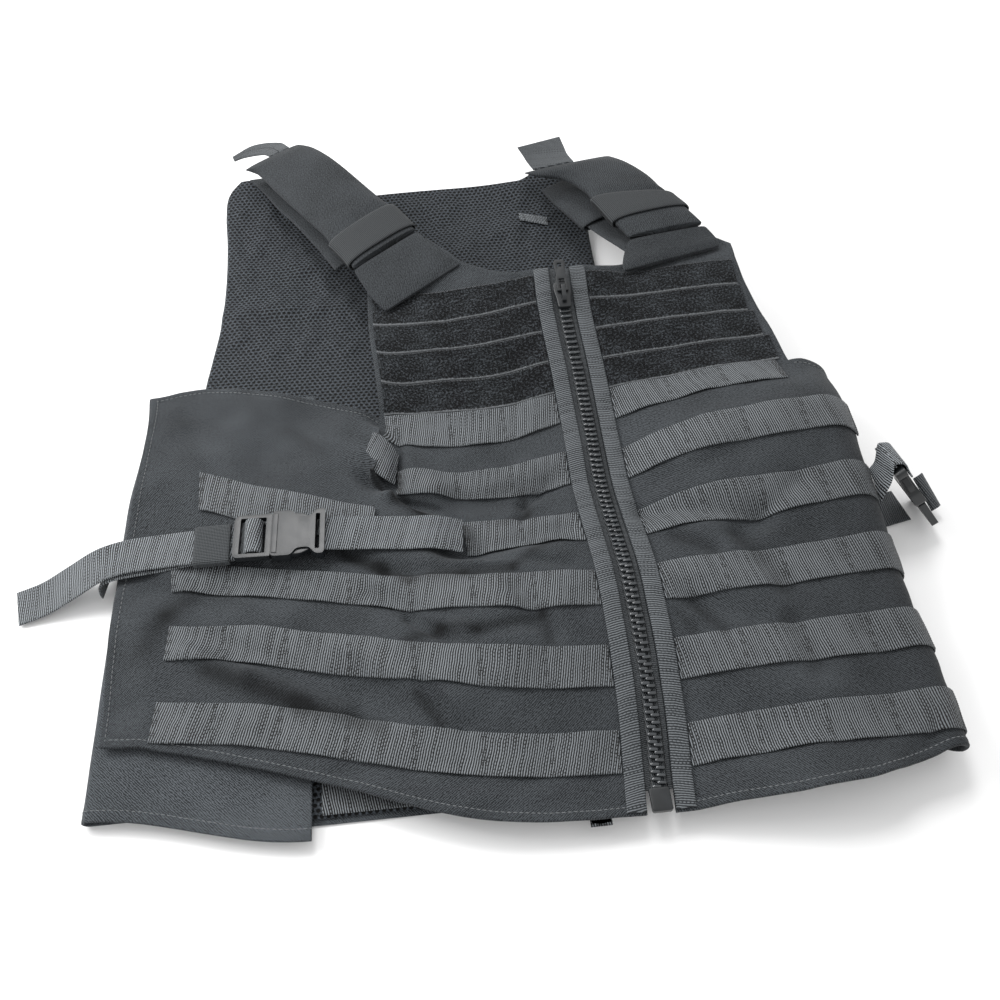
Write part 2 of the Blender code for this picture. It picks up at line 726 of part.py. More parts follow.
def back_top(x):
    """Upper edge of the back: the neck in the middle and a shoulder on each side."""
    away = max(BACK_MIDDLE_X - x, x - BACK_MIDDLE_X - 46.0)
    return NAPE_Y + 22.0 * smooth_step(NAPE_HALF - 26.0, NAPE_HALF + 12.0, away)


def back_grid(height, inset, low_y, fractions, lines):
    grid = []
    for v in lines:
        row = []
        y_side = low_y + (276.0 - low_y) * v
        for f in fractions:
            reach = column(BACK_SECTIONS, 1, y_side) - inset
            x = BACK_MIDDLE_X + reach * f
            top = back_top(x) - inset
            low = low_y + 13.0 * smooth_step(-140.0, -200.0, x)
            y = low + (top - low) * v
            row.append(Vector((x, y, height + back_lift(x, y))))
        grid.append(row)
    return grid


FRACTIONS = [i / 8 - 1 for i in range(17)]
BACK_LINES = [0.0, 0.1, 0.2, 0.3, 0.4, 0.5, 0.575, 0.63, 0.68, 0.73, 0.78, 0.83, 0.88, 0.93, 0.965, 1.0]


def back_body():
    low = back_grid(0.0, 0.0, BACK_HEM_Y, FRACTIONS, BACK_LINES)
    high = back_grid(SHELL, 0.0, BACK_HEM_Y, FRACTIONS, BACK_LINES)
    sheet("back_shell", high, low, "cloth")
    low = back_grid(SHELL + GAP, 1.5, BACK_HEM_Y + 3.0, FRACTIONS, BACK_LINES)
    high = back_grid(SHELL + GAP + MESH, 1.5, BACK_HEM_Y + 3.0, FRACTIONS, BACK_LINES)
    sheet("mesh_lining", high, low, "mesh")


def back_wing_left():
    """Wing of the back, folded up over itself at the side: section points and the leaf's hem."""
    seam_x = BACK_MIDDLE_X - 165.0 - 1.0
    radius = (WING_LEAF_UP + SHELL) / 2
    route = [(seam_x, 0.0, 0.0), (-222.0, 0.0, 0.0)]
    for i in range(5):
        angle = math.pi * i / 4
        route.append((WING_FOLD_X - radius * math.sin(angle), radius * (1 - math.cos(angle)), angle))
    for x in (-222.0, -200.0, -178.0, -157.0, -137.0, WING_END_X):
        route.append((x, WING_LEAF_UP + SHELL, math.pi))
    outer, inner = [], []
    for f in (0.0, 0.1, 0.25, 0.4, 0.55, 0.7, 0.85, 1.0):
        outer_row, inner_row = [], []
        for x, z, angle in route:
            leaf = smooth_step(-243.0, WING_END_X, x) if angle > 3.0 else 0.0
            hem = -281.0 - 23.0 * leaf
            y = hem + (WING_TOP_Y - hem) * f
            lean = WING_LEAN * smooth_step(-80.0, WING_TOP_Y, y) * smooth_step(-226.0, -236.0, x)
            outer_row.append(Vector((x + lean, y, z)))
            inward = Vector((math.sin(angle), 0.0, math.cos(angle))) * SHELL
            inner_row.append(Vector((x + lean, y, z)) + inward)
        outer.append(outer_row)
        inner.append(inner_row)
    sheet("back_wing_left", outer, inner, "cloth")


def back_wing_right():
    xs = (126.6, 150.0, 180.0, 214.0)
    ys = [BACK_HEM_Y + 4.0 + (WING_TOP_Y - 4.0 - BACK_HEM_Y) * f for f in (0.0, 0.33, 0.66, 1.0)]
    base = UNDER_Z + CLOTH + GAP
    low = [[Vector((x, y, base)) for x in xs] for y in ys]
    high = [[Vector((x, y, base + SHELL)) for x in xs] for y in ys]
    sheet("back_wing_right", high, low, "cloth")


def mesh_top(x, y):
    return SHELL + GAP + MESH + back_lift(x, y)


def back_trims():
    def on_mesh(name, rows, thick, colour, lift=GAP):
        low = [[Vector((x, y, mesh_top(x, y) + lift)) for x, y in row] for row in rows]
        high = [[p + Vector((0, 0, thick)) for p in row] for row in low]
        sheet(name, high, low, colour)

    xs = columns_between(-112.0, 70.0, 30.0)
    on_mesh("back_hem_webbing", [[(x, y) for x in xs] for y in (-290.0, -290.0 + WEBBING)], 1.3,
            "webbing")
    under_hem = front_layer(LEFT, 33.0, 0.0, -CLOTH - GAP - 1.1)
    block("hem_tab", under_hem + Vector((0.0, 2.0, 0.0)), (12.0, 8.0, 1.3), "webbing")
    on_mesh("hang_loop", [[(56.0, 203.0), (68.0, 199.0), (80.0, 195.0)],
                          [(56.0, 212.0), (68.0, 208.0), (80.0, 204.0)]], 1.6, "webbing", lift=1.2)


# Shoulder pieces: each row holds the left and the right edge of the piece and its thickness

def frames(rows):
    """Middle, half width vector, upward vector and half thickness at each row."""
    middles = [(Vector(row[0]) + Vector(row[1])) / 2 for row in rows]
    result = []
    for i, (left, right, thick) in enumerate(rows):
        ahead = middles[min(i + 1, len(rows) - 1)] - middles[max(i - 1, 0)]
        half = (Vector(right) - Vector(left)) / 2
        up = half.cross(ahead).normalized()
        result.append((middles[i], half, up if up.z > 0 else -up, thick / 2))
    return result


def oval_ring(frame, sides, power=2.6, grow=0.0):
    middle, half, up, height = frame
    side = half.normalized()
    ring = []
    for i in range(sides):
        angle = 2 * math.pi * (i + 0.5) / sides
        cos_a, sin_a = math.cos(angle), math.sin(angle)
        u = math.copysign(abs(cos_a) ** (2 / power), cos_a) * (half.length + grow)
        v = math.copysign(abs(sin_a) ** (2 / power), sin_a) * (height + grow)
        ring.append(middle + side * u + up * v)
    return ring


def pad(name, rows, colour):
    """Padded solid with an oval section at each row."""
    return loft(name, [oval_ring(frame, 12) for frame in frames(rows)], colour, smooth=True)


def flat_strap(name, rows, colour):
    """Strap with square edges between the two edge lines of the rows."""
    rings = []
    for middle, half, up, height in frames(rows):
        lift = up * height
        rings.append([middle - half - lift, middle + half - lift, middle + half + lift,
                      middle - half + lift])
    return loft(name, rings, colour)


def open_tube(name, outer, inner, colour):
    """Tube with both ends open, between equal outer and inner rings."""
    return loft(name, outer + inner[::-1], colour, closed=True)


PAD_LEFT = (
    # left edge             right edge              thickness
    ((-176.0, 266.0, 33.0), (-128.0, 284.0, 43.0), 4.0),
    ((-166.0, 256.0, 34.0), (-113.0, 272.0, 47.0), 9.0),
    ((-147.0, 224.0, 35.0), (-93.0, 246.0, 50.5), 12.0),
    ((-126.0, 191.0, 36.0), (-72.0, 214.0, 51.0), 12.5),
    ((-105.0, 158.0, 37.0), (-53.0, 184.0, 51.0), 12.0),
    ((-92.0, 136.0, 38.0), (-40.0, 163.0, 50.0), 11.5),
    ((-84.0, 119.0, 39.5), (-32.0, 148.0, 50.0), 10.0),
)
PAD_RIGHT = (
    ((61.0, 227.0, 40.0), (134.0, 223.0, 55.0), 4.0),
    ((70.0, 218.0, 43.0), (146.0, 208.0, 58.0), 9.0),
    ((91.0, 202.0, 47.0), (159.0, 186.0, 60.0), 12.0),
    ((103.0, 182.0, 50.5), (167.0, 166.0, 61.0), 12.0),
    ((112.0, 160.0, 53.0), (173.0, 151.0, 61.5), 12.0),
    ((121.0, 132.0, 55.5), (180.0, 137.0, 61.5), 12.0),
    ((129.0, 112.0, 57.0), (189.0, 118.0, 60.5), 10.0),
)


def row_between(rows, at):
    """Edges and thickness at a place between two rows."""
    knots = [float(i) for i in range(len(rows))]

    def point(index):
        return tuple(spline(knots, [row[index][k] for row in rows], at) for k in range(3))

    return point(0), point(1), spline(knots, [row[2] for row in rows], at)


def pad_band(name, rows, first, last):
    """Elastic band right round a pad between two places on it."""
    chosen = [row_between(rows, first + (last - first) * f) for f in (0.0, 0.5, 1.0)]
    outer = [oval_ring(frame, 12, grow=1.9) for frame in frames(chosen)]
    inner = [oval_ring(frame, 12, grow=0.7) for frame in frames(chosen)]
    open_tube(name, outer, inner, "elastic")


def shoulders():
    pad("shoulder_pad_left", PAD_LEFT, "cloth")
    pad("shoulder_pad_right", PAD_RIGHT, "cloth")
    pad_band("pad_band_left", PAD_LEFT, 4.25, 5.75)
    pad_band("pad_band_right", PAD_RIGHT, 3.7, 5.0)
    pad("shoulder_front_left", (
        ((-83.7, 118.0, 39.1), (-31.3, 146.4, 50.1), 4.0),
        ((-76.0, 99.0, 37.3), (-20.0, 128.0, 49.7), 4.5),
        ((-69.0, 85.0, 35.9), (-9.0, 115.0, 49.4), 4.0),
        ((-61.0, 74.5, 34.3), (-1.0, 106.0, 48.7), 3.0),
    ), "cloth")
    pad("shoulder_front_right", (
        ((128.2, 111.3, 55.2), (189.9, 117.4, 59.3), 5.0),
        ((123.0, 99.0, 52.8), (195.0, 109.0, 57.0), 5.5),
        ((120.0, 88.0, 51.6), (197.5, 103.0, 55.4), 7.0),
        ((120.0, 82.0, 50.6), (197.0, 98.0, 54.0), 5.0),
    ), "cloth")
    flat_strap("shoulder_strap_left", (
        ((-174.0, 272.0, 18.0), (-132.0, 270.0, 20.4), 2.4),
        ((-162.0, 252.0, 19.5), (-117.0, 260.0, 27.0), 2.4),
        ((-148.0, 225.0, 21.5), (-102.0, 236.0, 31.0), 2.4),
        ((-133.0, 200.0, 23.5), (-87.0, 216.0, 35.0), 2.4),
        ((-114.0, 165.0, 25.4), (-70.0, 186.0, 36.6), 2.4),
        ((-99.0, 134.0, 27.2), (-53.0, 160.0, 37.2), 2.4),
    ), "cloth")
    flat_strap("strap_tail_left", (
        ((-153.0, 275.7, 37.5), (-135.6, 282.3, 41.0), 1.6),
        ((-160.0, 284.0, 34.5), (-145.0, 297.0, 36.5), 1.6),
        ((-178.0, 291.0, 28.0), (-170.0, 306.0, 29.5), 1.6),
        ((-187.0, 291.0, 25.0), (-189.0, 297.0, 25.5), 1.6),
    ), "webbing")
    flat_strap("strap_tail_right", (
        ((70.0, 227.2, 41.9), (104.0, 225.4, 48.8), 1.6),
        ((66.0, 240.0, 41.5), (101.0, 241.0, 45.8), 1.6),
        ((64.0, 247.0, 42.0), (100.0, 252.0, 45.2), 1.6),
        ((60.0, 257.0, 44.0), (98.0, 266.0, 46.0), 1.6),
    ), "webbing")
    sleeve_rows = (
        ((78.0, 226.0, 21.0), (124.0, 234.0, 32.0), 5.0),
        ((84.0, 204.0, 25.0), (132.0, 212.0, 38.0), 7.0),
        ((93.0, 180.0, 29.0), (141.0, 190.0, 41.0), 8.0),
        ((102.0, 156.0, 33.0), (148.0, 168.0, 44.0), 9.0),
    )
    outer = [oval_ring(frame, 12, power=3.0) for frame in frames(sleeve_rows)]
    inner = [oval_ring(frame, 12, power=3.0, grow=-1.2) for frame in frames(sleeve_rows)]
    open_tube("shoulder_sleeve_right", outer, inner, "cloth")
    flat_strap("shoulder_strap_right", (
        ((98.0, 180.0, 30.3), (136.0, 188.0, 39.7), 1.6),
        ((105.0, 160.0, 33.5), (142.0, 170.0, 42.6), 1.6),
        ((113.0, 138.0, 40.0), (150.0, 148.0, 45.5), 1.6),
        ((120.0, 119.0, 46.4), (160.0, 128.0, 49.2), 1.6),
        ((126.0, 106.0, 49.4), (168.0, 114.0, 51.9), 1.6),
    ), "cloth")


# Side straps and buckles

BUCKLE_LEFT = ((-141.0, -114.5, 25.6), (0.0, 0.0, -1.5))
# The right buckle hangs over the side: the end of its ladder part, its length and its width
BUCKLE_RIGHT_END = (293.5, -127.5, 5.4)
BUCKLE_RIGHT_LENGTH = (-0.60, 0.26, 0.75)
BUCKLE_RIGHT_WIDTH = (-0.28, 0.90, 0.10)
KEEPER_LENGTH = 23.0
KEEPER_WALL = 1.1
ROW_TOP = SEWN_GAP + WEBBING_THICK


def front_height(x, y):
    """Height of the left half's cloth at a place of the table."""
    along = y - ZIP_SECTIONS[1][2]
    for _ in range(8):
        across = column(ZIP_SECTIONS, 1, along) - x
        along += y - front_point(LEFT, across, along).y
    return on_panel(LEFT, across, along, 0.0).z


def over_front(x, y):
    """Height that clears the cloth under the whole width of a strap."""
    return max(front_height(x, y + aside) for aside in range(-13, 14, 2))


def matrix_from(centre, length, width):
    along = Vector(length).normalized()
    across = (Vector(width) - along * Vector(width).dot(along)).normalized()
    out = along.cross(across)
    matrix = Matrix((along, across, out)).transposed().to_4x4()
    matrix.translation = Vector(centre)
    return matrix


def keeper(name, x, y, low, high):
    """Elastic keeper right round the strap and its tail, between two inner heights."""
    centre, height, width = (low + high) / 2, high - low, WEBBING + 1.6
    outer, inner = [], []
    for end in (-0.5, 0.5):
        for store, grow in ((outer, KEEPER_WALL), (inner, 0.0)):
            w, h = width / 2 + grow, height / 2 + grow
            cut = 0.3 + grow
            ring = [(-w, -h + cut), (-w + cut, -h), (w - cut, -h), (w, -h + cut), (w, h - cut),
                    (w - cut, h), (-w + cut, h), (-w, h - cut)]
            store.append([Vector((x + KEEPER_LENGTH * end, y + a, centre + b)) for a, b in ring])
    open_tube(name, outer, inner, "elastic")


def left_side_straps():
    buckle("left", turned(*BUCKLE_LEFT))
    level = BUCKLE_LEFT[0][2]
    free = WEBBING_THICK / 2 + SEWN_GAP
    route = [(-106.3, -115.5, level)]
    for x, y, lift in ((-94.8, -115.6, 4.2), (-75.7, -116.4, 3.0), (-66.5, -117.2, 2.2),
                       (-56.7, -118.0, 1.4), (-37.7, -120.0, 3.2), (-19.4, -121.5, 3.0)):
        route.append((x, y, over_front(x, y) + free + lift))
    strap("buckle_strap_left", route, WEBBING, WEBBING_THICK, "webbing", pieces=1)
    keeper_x = -179.0
    base = max(over_front(keeper_x + d, -115.0) for d in (-11.0, 0.0, 11.0)) + ROW_TOP
    inner_low = base + GAP + KEEPER_WALL
    strap_z = inner_low + free
    tail_z = strap_z + WEBBING_THICK + SEWN_GAP
    keeper("strap_keeper_left", keeper_x, -115.4, inner_low, tail_z + free + 0.4)
    strap("side_strap_left", (
        (-166.0, -114.8, strap_z), (-179.0, -115.3, strap_z), (-192.5, -116.0, strap_z),
        (-214.0, -117.5, over_front(-214.0, -121.0) + ROW_TOP + free + 0.6),
        (-234.0, -119.5, over_front(-234.0, -126.0) + ROW_TOP + free + 0.6),
        (-243.5, -121.0, over_front(-240.0, -129.0) + free + 0.8), (-248.8, -122.5, 13.0),
        (-249.6, -123.0, 7.0), (-249.4, -123.4, 2.4)),
        WEBBING, WEBBING_THICK, "webbing", across=(0.14, 0.99, 0.0), pieces=1)
    strap("side_tail_left", (
        (-166.0, -114.8, tail_z), (-179.0, -115.4, tail_z), (-192.0, -115.6, tail_z),
        (-214.0, -116.0, over_front(-214.0, -121.0) + ROW_TOP + free + 3.2),
        (-234.0, -117.5, over_front(-234.0, -126.0) + ROW_TOP + free + 3.2), (-250.0, -121.0, 19.5),
        (-268.0, -127.0, 12.5), (-287.0, -133.0, 5.0), (-304.5, -137.0, 1.6)),
        WEBBING, WEBBING_THICK, "webbing", pieces=1)


def right_side_straps():
    length = Vector(BUCKLE_RIGHT_LENGTH).normalized()
    joint = Vector(BUCKLE_RIGHT_END) + length * LADDER_LENGTH
    frame = matrix_from(joint, length, BUCKLE_RIGHT_WIDTH)
    buckle("right", frame)
    mouth = joint + length * (BODY_LENGTH + 0.8)
    width = frame.to_3x3() @ Vector((0.0, 1.0, 0.0))
    half = width * (WEBBING / 2)
    near, far = (front_layer(RIGHT, ROW_REACH[2][1] + 1.0, WEBBING * k, SEWN_GAP + 1.2)
                 for k in (7.02, 7.98))
    rows = [(near, far, WEBBING_THICK)]
    for middle in (Vector((253.8, -118.5, 44.5)), mouth + length * 4.0, mouth):
        rows.append((middle - half, middle + half, WEBBING_THICK))
    flat_strap("buckle_strap_right", rows, "webbing")
    strap("side_strap_right", ((222.0, -129.0, 0.75), (243.0, -125.0, 0.75), (256.0, -122.5, 0.75),
                               (270.0, -119.4, 0.75), (281.5, -117.0, 0.75)),
          WEBBING, WEBBING_THICK, "webbing", pieces=1)
    strap("side_tail_right", ((291.1, -118.9, 13.5), (296.1, -116.8, 14.5), (299.0, -114.5, 13.2)),
          WEBBING, WEBBING_THICK, "webbing", across=(-0.446, 0.741, 0.502), pieces=2)


def side_straps():
    left_side_straps()
    right_side_straps()


def main():
    for half, side in ((LEFT, "left"), (RIGHT, "right")):
        front_panel(half, f"front_panel_{side}")
        rows_and_bands(half, side)
        zip_pieces(half, side)
    zip_chain()
    slider()
    pull_tab()
    back_body()
    back_wing_left()
    back_wing_right()
    back_trims()
    shoulders()
    side_straps()


def make_material(name, colour, roughness):
    material = bpy.data.materials.new(name)
    material.use_nodes = True
    shader = material.node_tree.nodes["Principled BSDF"]
    shader.inputs["Base Color"].default_value = (*colour, 1.0)
    shader.inputs["Roughness"].default_value = roughness
    shader.inputs["Metallic"].default_value = 0.0
    return material


for old in list(bpy.data.objects):
    bpy.data.objects.remove(old)
PARTS = bpy.data.collections.new("tactical_vest")
CUTTERS = bpy.data.collections.new("cutters")
bpy.context.scene.collection.children.link(PARTS)
bpy.context.scene.collection.children.link(CUTTERS)
MATERIALS = {name: make_material(name, *values) for name, values in COLOURS.items()}
main()
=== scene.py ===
"""Looks of the tactical vest: fine cloth, webbing, loop tape, zip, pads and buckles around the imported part.

The tables are in table millimetres, as they were measured: X to the image's right, Y from the hem to the
neck, Z up. to_metres() takes them to the part's own frame.
"""

import math

import bmesh
import bpy
import numpy as np
from mathutils import Matrix, Vector


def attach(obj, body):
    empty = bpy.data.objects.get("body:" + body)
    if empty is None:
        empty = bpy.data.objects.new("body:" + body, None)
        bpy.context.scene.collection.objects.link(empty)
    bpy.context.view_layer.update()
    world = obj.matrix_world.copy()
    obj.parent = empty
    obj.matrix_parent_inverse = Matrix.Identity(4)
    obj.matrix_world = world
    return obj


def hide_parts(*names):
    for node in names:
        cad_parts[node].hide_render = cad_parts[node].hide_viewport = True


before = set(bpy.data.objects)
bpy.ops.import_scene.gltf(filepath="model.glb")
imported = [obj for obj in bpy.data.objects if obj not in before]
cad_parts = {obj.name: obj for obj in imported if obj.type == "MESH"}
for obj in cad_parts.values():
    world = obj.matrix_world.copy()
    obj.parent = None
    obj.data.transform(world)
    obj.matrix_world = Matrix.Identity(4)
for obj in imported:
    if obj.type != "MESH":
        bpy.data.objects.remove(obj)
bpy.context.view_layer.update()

MM = 0.001
UV_MM = 10                        # millimetres of cloth in one unit of its UV map
SHIFT = np.array((-1.4, -3.6, 0))
LEFT, RIGHT = -1, 1
FILL_STEPS = 20                   # frames of cloth simulation that fill a pad
WEBBING = 25.4
STRIP_CELL = 2.2                  # length of a strip's faces
FIRST_TACK, TACK_PITCH = 20, 38.1
TACKS = [FIRST_TACK + TACK_PITCH * i for i in range(8)]
ROW_THICK, BAND_THICK, STRAP_THICK = 1.3, 1.2, 1.3
ROW_LIFT, ROW_ARCH = 0.25, 0.95   # over the cloth at a tack, and more between two
CLOTH = 2.2
TRIM_INNER, TRIM_OUTER = 8, 19.6
TRIM_TOP = 411
SEAM_INSET = 5                    # of the stitches beside the cloth's edges
HEM_SEAM_RISE, SEAM_RISE = 0.15, 0.25
TEETH_PITCH = 4.3
BOX_TOP = 14.6
SLIDER_ALONG, SLIDER_HEIGHT = 384, 4.6
TEETH_END = SLIDER_ALONG - 8
SIDE_X = 251
UNDER_Z = 1.7
SHELL, GAP, MESH = 1.4, 0.3, 2.4
REST_SOFT = 1.2                   # how softly the front comes to rest on what it lies on
ZIP_EDGE, CHEST_EDGE = 8, 146
WING_TOP, CHEST_JOIN = 296, 302   # along of the wing's top, and where it meets the chest
CAMERA_PLACE = (-32.5, -469.5, 535)
CAMERA_DOWN, CAMERA_TURN = 54, 6.1
CAMERA_LENS, CAMERA_SENSOR = 34.56, 36
FLOOR_GREY, SKY_LEVEL = 0.93, 0.86

ZIP_SECTIONS = np.array((
    # along, x, y, z of the zip's middle
    (-12, 72, -322, 16.5), (0, 72.8, -311, 14.5), (25.4, 75.5, -287, 12), (50.8, 78, -261.5, 13.5),
    (76.2, 79.3, -236.5, 16.5), (101.6, 79.8, -211, 21), (127, 79.8, -185.8, 23.5),
    (152.4, 79.6, -160.5, 24.5), (177.8, 78.8, -136, 20.5), (203.2, 77.6, -111, 17),
    (228.6, 76.6, -86, 16), (254, 76.4, -60.5, 18), (279.4, 76.4, -35.5, 19.5), (304.8, 75.8, -10.5, 23.5),
    (330.2, 74.6, 13.8, 29.5), (355.6, 72.8, 38, 36.5), (381, 71.4, 62, 44), (406.4, 71.6, 85.5, 50.5),
    (430, 72, 108, 52), (470, 72, 148, 50),
))
LEFT_STATIONS = np.array((20, 58, 96, 134, 172, 230, 290))
LEFT_HEIGHTS = np.array((
    # along, heights at 58, 96, 134, 172, 230 and 290 across, share of the fan
    (-12, 16, 17, 16, 14, 13, 12.5, 1), (25.4, 14, 17, 16.5, 15, 14, 12.5, 1),
    (50.8, 15, 18.5, 18, 16.5, 14.5, 13, 1), (101.6, 24.5, 27.5, 22.5, 17.5, 15.5, 14, 1),
    (152.4, 27, 25.5, 20.5, 17.5, 15.5, 15, 0.78), (203.2, 13.5, 10.5, 17, 19, 19, 17.5, 1.12),
    (254, 17, 14, 12, 19.5, 19.5, 17.5, 1.1), (304.8, 18.5, 16, 15, 17, 17, 15.5, 1),
    (355.6, 30.5, 27.5, 26, 22, 17, 15, 1), (406.4, 45, 38, 31, 25, 17, 15, 0.9),
    (430, 48.2, 45.2, 36, 27, 17, 15, 0.8), (470, 48, 46, 38, 28, 17, 15, 0.8),
))
LEFT_FAN = np.array((0, 1, 5, 13, 23, 38, 50))
LEFT_SAG = np.array((
    # along, sag at 58, 96, 134 and 172 across
    (203.2, 0, 0, 0, 0), (228.6, 4, 6, 8, 1.5), (254, 8, 12, 14, 3), (279.4, 12, 15, 15, 3),
    (304.8, 6, 9, 13, 3), (330.2, 4, 7, 13, 3), (355.6, 3, 6, 12.5, 3), (381, 3, 6, 10, 3),
    (406.4, 1, 2, 3, 1), (430, 0, 0, 0, 0),
))
RIGHT_STATIONS = np.array((20, 58, 96, 134))
RIGHT_HEIGHTS = np.array((
    # along, heights at 58, 96 and 134 across and at the side
    (-12, 26, 37, 37, 28), (25.4, 19, 24, 27, 29), (50.8, 22, 26, 27, 29), (101.6, 27, 27, 31, 33),
    (152.4, 32, 31, 36, 39), (203.2, 35, 42, 47, 49), (254, 40, 51, 56, 56), (304.8, 31, 36, 41, 44),
    (355.6, 41, 42, 44, 44), (406.4, 46, 50, 51, 50), (470, 46, 49, 49.5, 48.5),
))
# Large folds by half: start across and along, end across and along, width, height
FOLDS = {
    LEFT: (
        (96, 184, 152, 232, 11, -9), (152, 232, 146, 300, 9, -8), (112, 236, 134, 268, 12, 5),
        (34, 190, 108, 172, 9, -6), (60, 168, 120, 160, 9, 5), (36, 232, 96, 224, 10, -5),
        (118, 116, 158, 140, 8, -4), (52, 112, 70, 140, 8, -4), (150, 60, 282, 92, 12, -4),
        (110, 66, 176, 96, 10, 3.5), (205, 268, 230, 234, 22, -4),
    ),
    RIGHT: (
        (24, 196, 92, 178, 9, -6), (80, 170, 120, 196, 9, -4), (34, 128, 70, 108, 9, -4),
        (40, 12, 86, 22, 11, 3.5), (138, 8, 166, 30, 8, -4),
    ),
}
# Small creases that only show close up, written the same way
FINE_FOLDS = {
    LEFT: (
        (156, 235, 146, 215, 5, 4), (146, 215, 112, 204, 5, 4.2), (270, 79, 234, 67, 7, 4.6),
        (234, 67, 176, 55, 6.5, 3.8), (292, 152, 272, 126, 8, 3.6), (156, 238, 149, 280, 8, 12),
        (137, 238, 135, 284, 5, -4.5), (137, 221, 112, 214, 4, -3.4), (172, 164, 150, 157, 5, -2.6),
        (150, 157, 76, 158, 5, -3.6), (136, 121, 114, 106, 4.5, -4.2), (128, 123, 104, 113, 4.5, 3),
        (131, 76, 108, 52, 4, -3.8), (57, 205, 54, 221, 4, -3.6), (54, 221, 42, 227, 4, -3),
        (84, 168, 34, 160, 4.5, -2.8), (62, 118, 96, 110, 5, -2.6), (176, 282, 232, 214, 14, -2),
        (214, 290, 262, 226, 13, 1.8), (286, 276, 262, 208, 12, -1.6), (300, 128, 226, 142, 9, -1.6),
        (300, 96, 292, 40, 10, 1.6), (176, 20, 110, 30, 6, -1.8), (104, 10, 60, 18, 6, 1.4),
    ),
    RIGHT: (
        (76, 168, 95, 126, 7, -3.2), (36, 172, 56, 156, 5, -2.4), (110, 172, 124, 158, 6, -1.8),
        (37, 124, 51, 103, 4.5, -2.4), (27, 118, 33, 105, 3.5, -1.8), (92, 104, 99, 74, 7, -2.2),
        (132, 92, 150, 60, 8, -1.8), (60, 66, 100, 56, 7, 1.3), (60, 270, 130, 262, 9, -1.4),
        (30, 216, 96, 224, 7, -1.8),
    ),
}
# Painted shade where the cloth lies in its own shade in its folds; the last number says how dark
PAINTED_SHADE_FOLDS = {
    LEFT: (
        (257.6, 69.2, 201.2, 53.4, 7, 0.8), (201.2, 53.4, 155.1, 46.3, 5.5, 0.8),
        (272.2, 123.1, 286.9, 105.4, 7, 0.55), (286.9, 105.4, 298, 80, 7, 0.4),
        (154.2, 239.4, 141.5, 213.9, 4, 0.9), (141.5, 213.9, 124, 207.6, 4, 0.7),
        (124, 207.6, 94.7, 192, 4.5, 0.6), (139, 250, 132.2, 224.1, 4, 0.8),
        (176.1, 165.8, 153, 157.7, 5, 0.9), (153, 157.7, 136.6, 150, 4.5, 0.8),
        (136.6, 150, 101.5, 153.5, 4, 0.6), (101.5, 153.5, 70.4, 157.1, 3.5, 0.6),
        (70.4, 157.1, 44.7, 179.7, 3.5, 0.5), (138.7, 102.2, 118.6, 114.3, 4.5, 0.7),
        (118.6, 114.3, 96.7, 112.5, 3.5, 0.5), (96.7, 112.5, 55.8, 124.7, 3.5, 0.5),
        (55.8, 124.7, 54.4, 106, 4, 0.55), (133.8, 69.1, 121.3, 53.2, 3.5, 0.7),
        (52.5, 231.1, 52.9, 208.1, 3.5, 0.6), (52.9, 208.1, 71.8, 200.5, 3.5, 0.5),
        (209.5, 260.1, 190, 245.3, 8, 0.35),
    ),
    RIGHT: (
        (76, 168, 95, 126, 7, 0.45), (36, 172, 56, 156, 5, 0.45), (37, 124, 51, 103, 4.5, 0.5),
        # The last entry paints broad shade over the outer part of the right half.
        (27, 118, 33, 105, 3.5, 0.4), (92, 104, 99, 74, 7, 0.35), (200, 10, 190, 190, 75, 0.5),
    ),
}
NECK_EDGE = np.array((
    # across, along on the left, along on the right
    (8, 412, 412), (30, 413, 413), (45, 417, 415), (60, 424, 422), (72, 431, 432), (84, 444, 440),
    (103, 462, 444), (125, 444, 436), (146, 424, 416),
))
WING_REACH = ((0, 76, 150, 254, 300), (311, 319, 318, 309, 311))
# How far out each webbing row ends, from the neck down, and where the wing's piece of row 3 lies
ROW_REACH = {LEFT: (142, 138, 96.2, 284, 284, 284), RIGHT: (137.5, 176, 172.4, 284, 284, 190)}
WING_ROW = (153.35, 270)

BACK_MIDDLE_X = -39
BACK_SECTIONS = np.array((
    (-294, 163), (-240, 164), (-180, 165), (-120, 165), (-60, 165), (-10, 164),
    (38, 161), (64, 158), (107, 153.5), (156, 152.5), (203, 154), (238, 156),
    (262, 154), (276, 144),
))
NAPE_Y, NAPE_HALF = 254, 78
BACK_HEM_Y = -294
BACK_RISES = (
    # x, y, reach in x, reach in y, height
    (-172, 284, 46, 60, 13), (96, 284, 60, 70, 14), (-20, 262, 90, 34, 7), (-150, 118, 60, 9, 2.6),
    (-120, 168, 50, 11, 2.2), (40, 196, 30, 16, 2.6),
)
BACK_TOP_Y = 276
WING_FOLD_X, WING_LEAF_UP, WING_END_X, WING_TOP_Y, WING_LEAN = -239.2, 6.6, -117, 20, 7
UNDER_WING_X, UNDER_WING_END_X, UNDER_WING_Y = 126.6, 214, -290


# Curves and waves

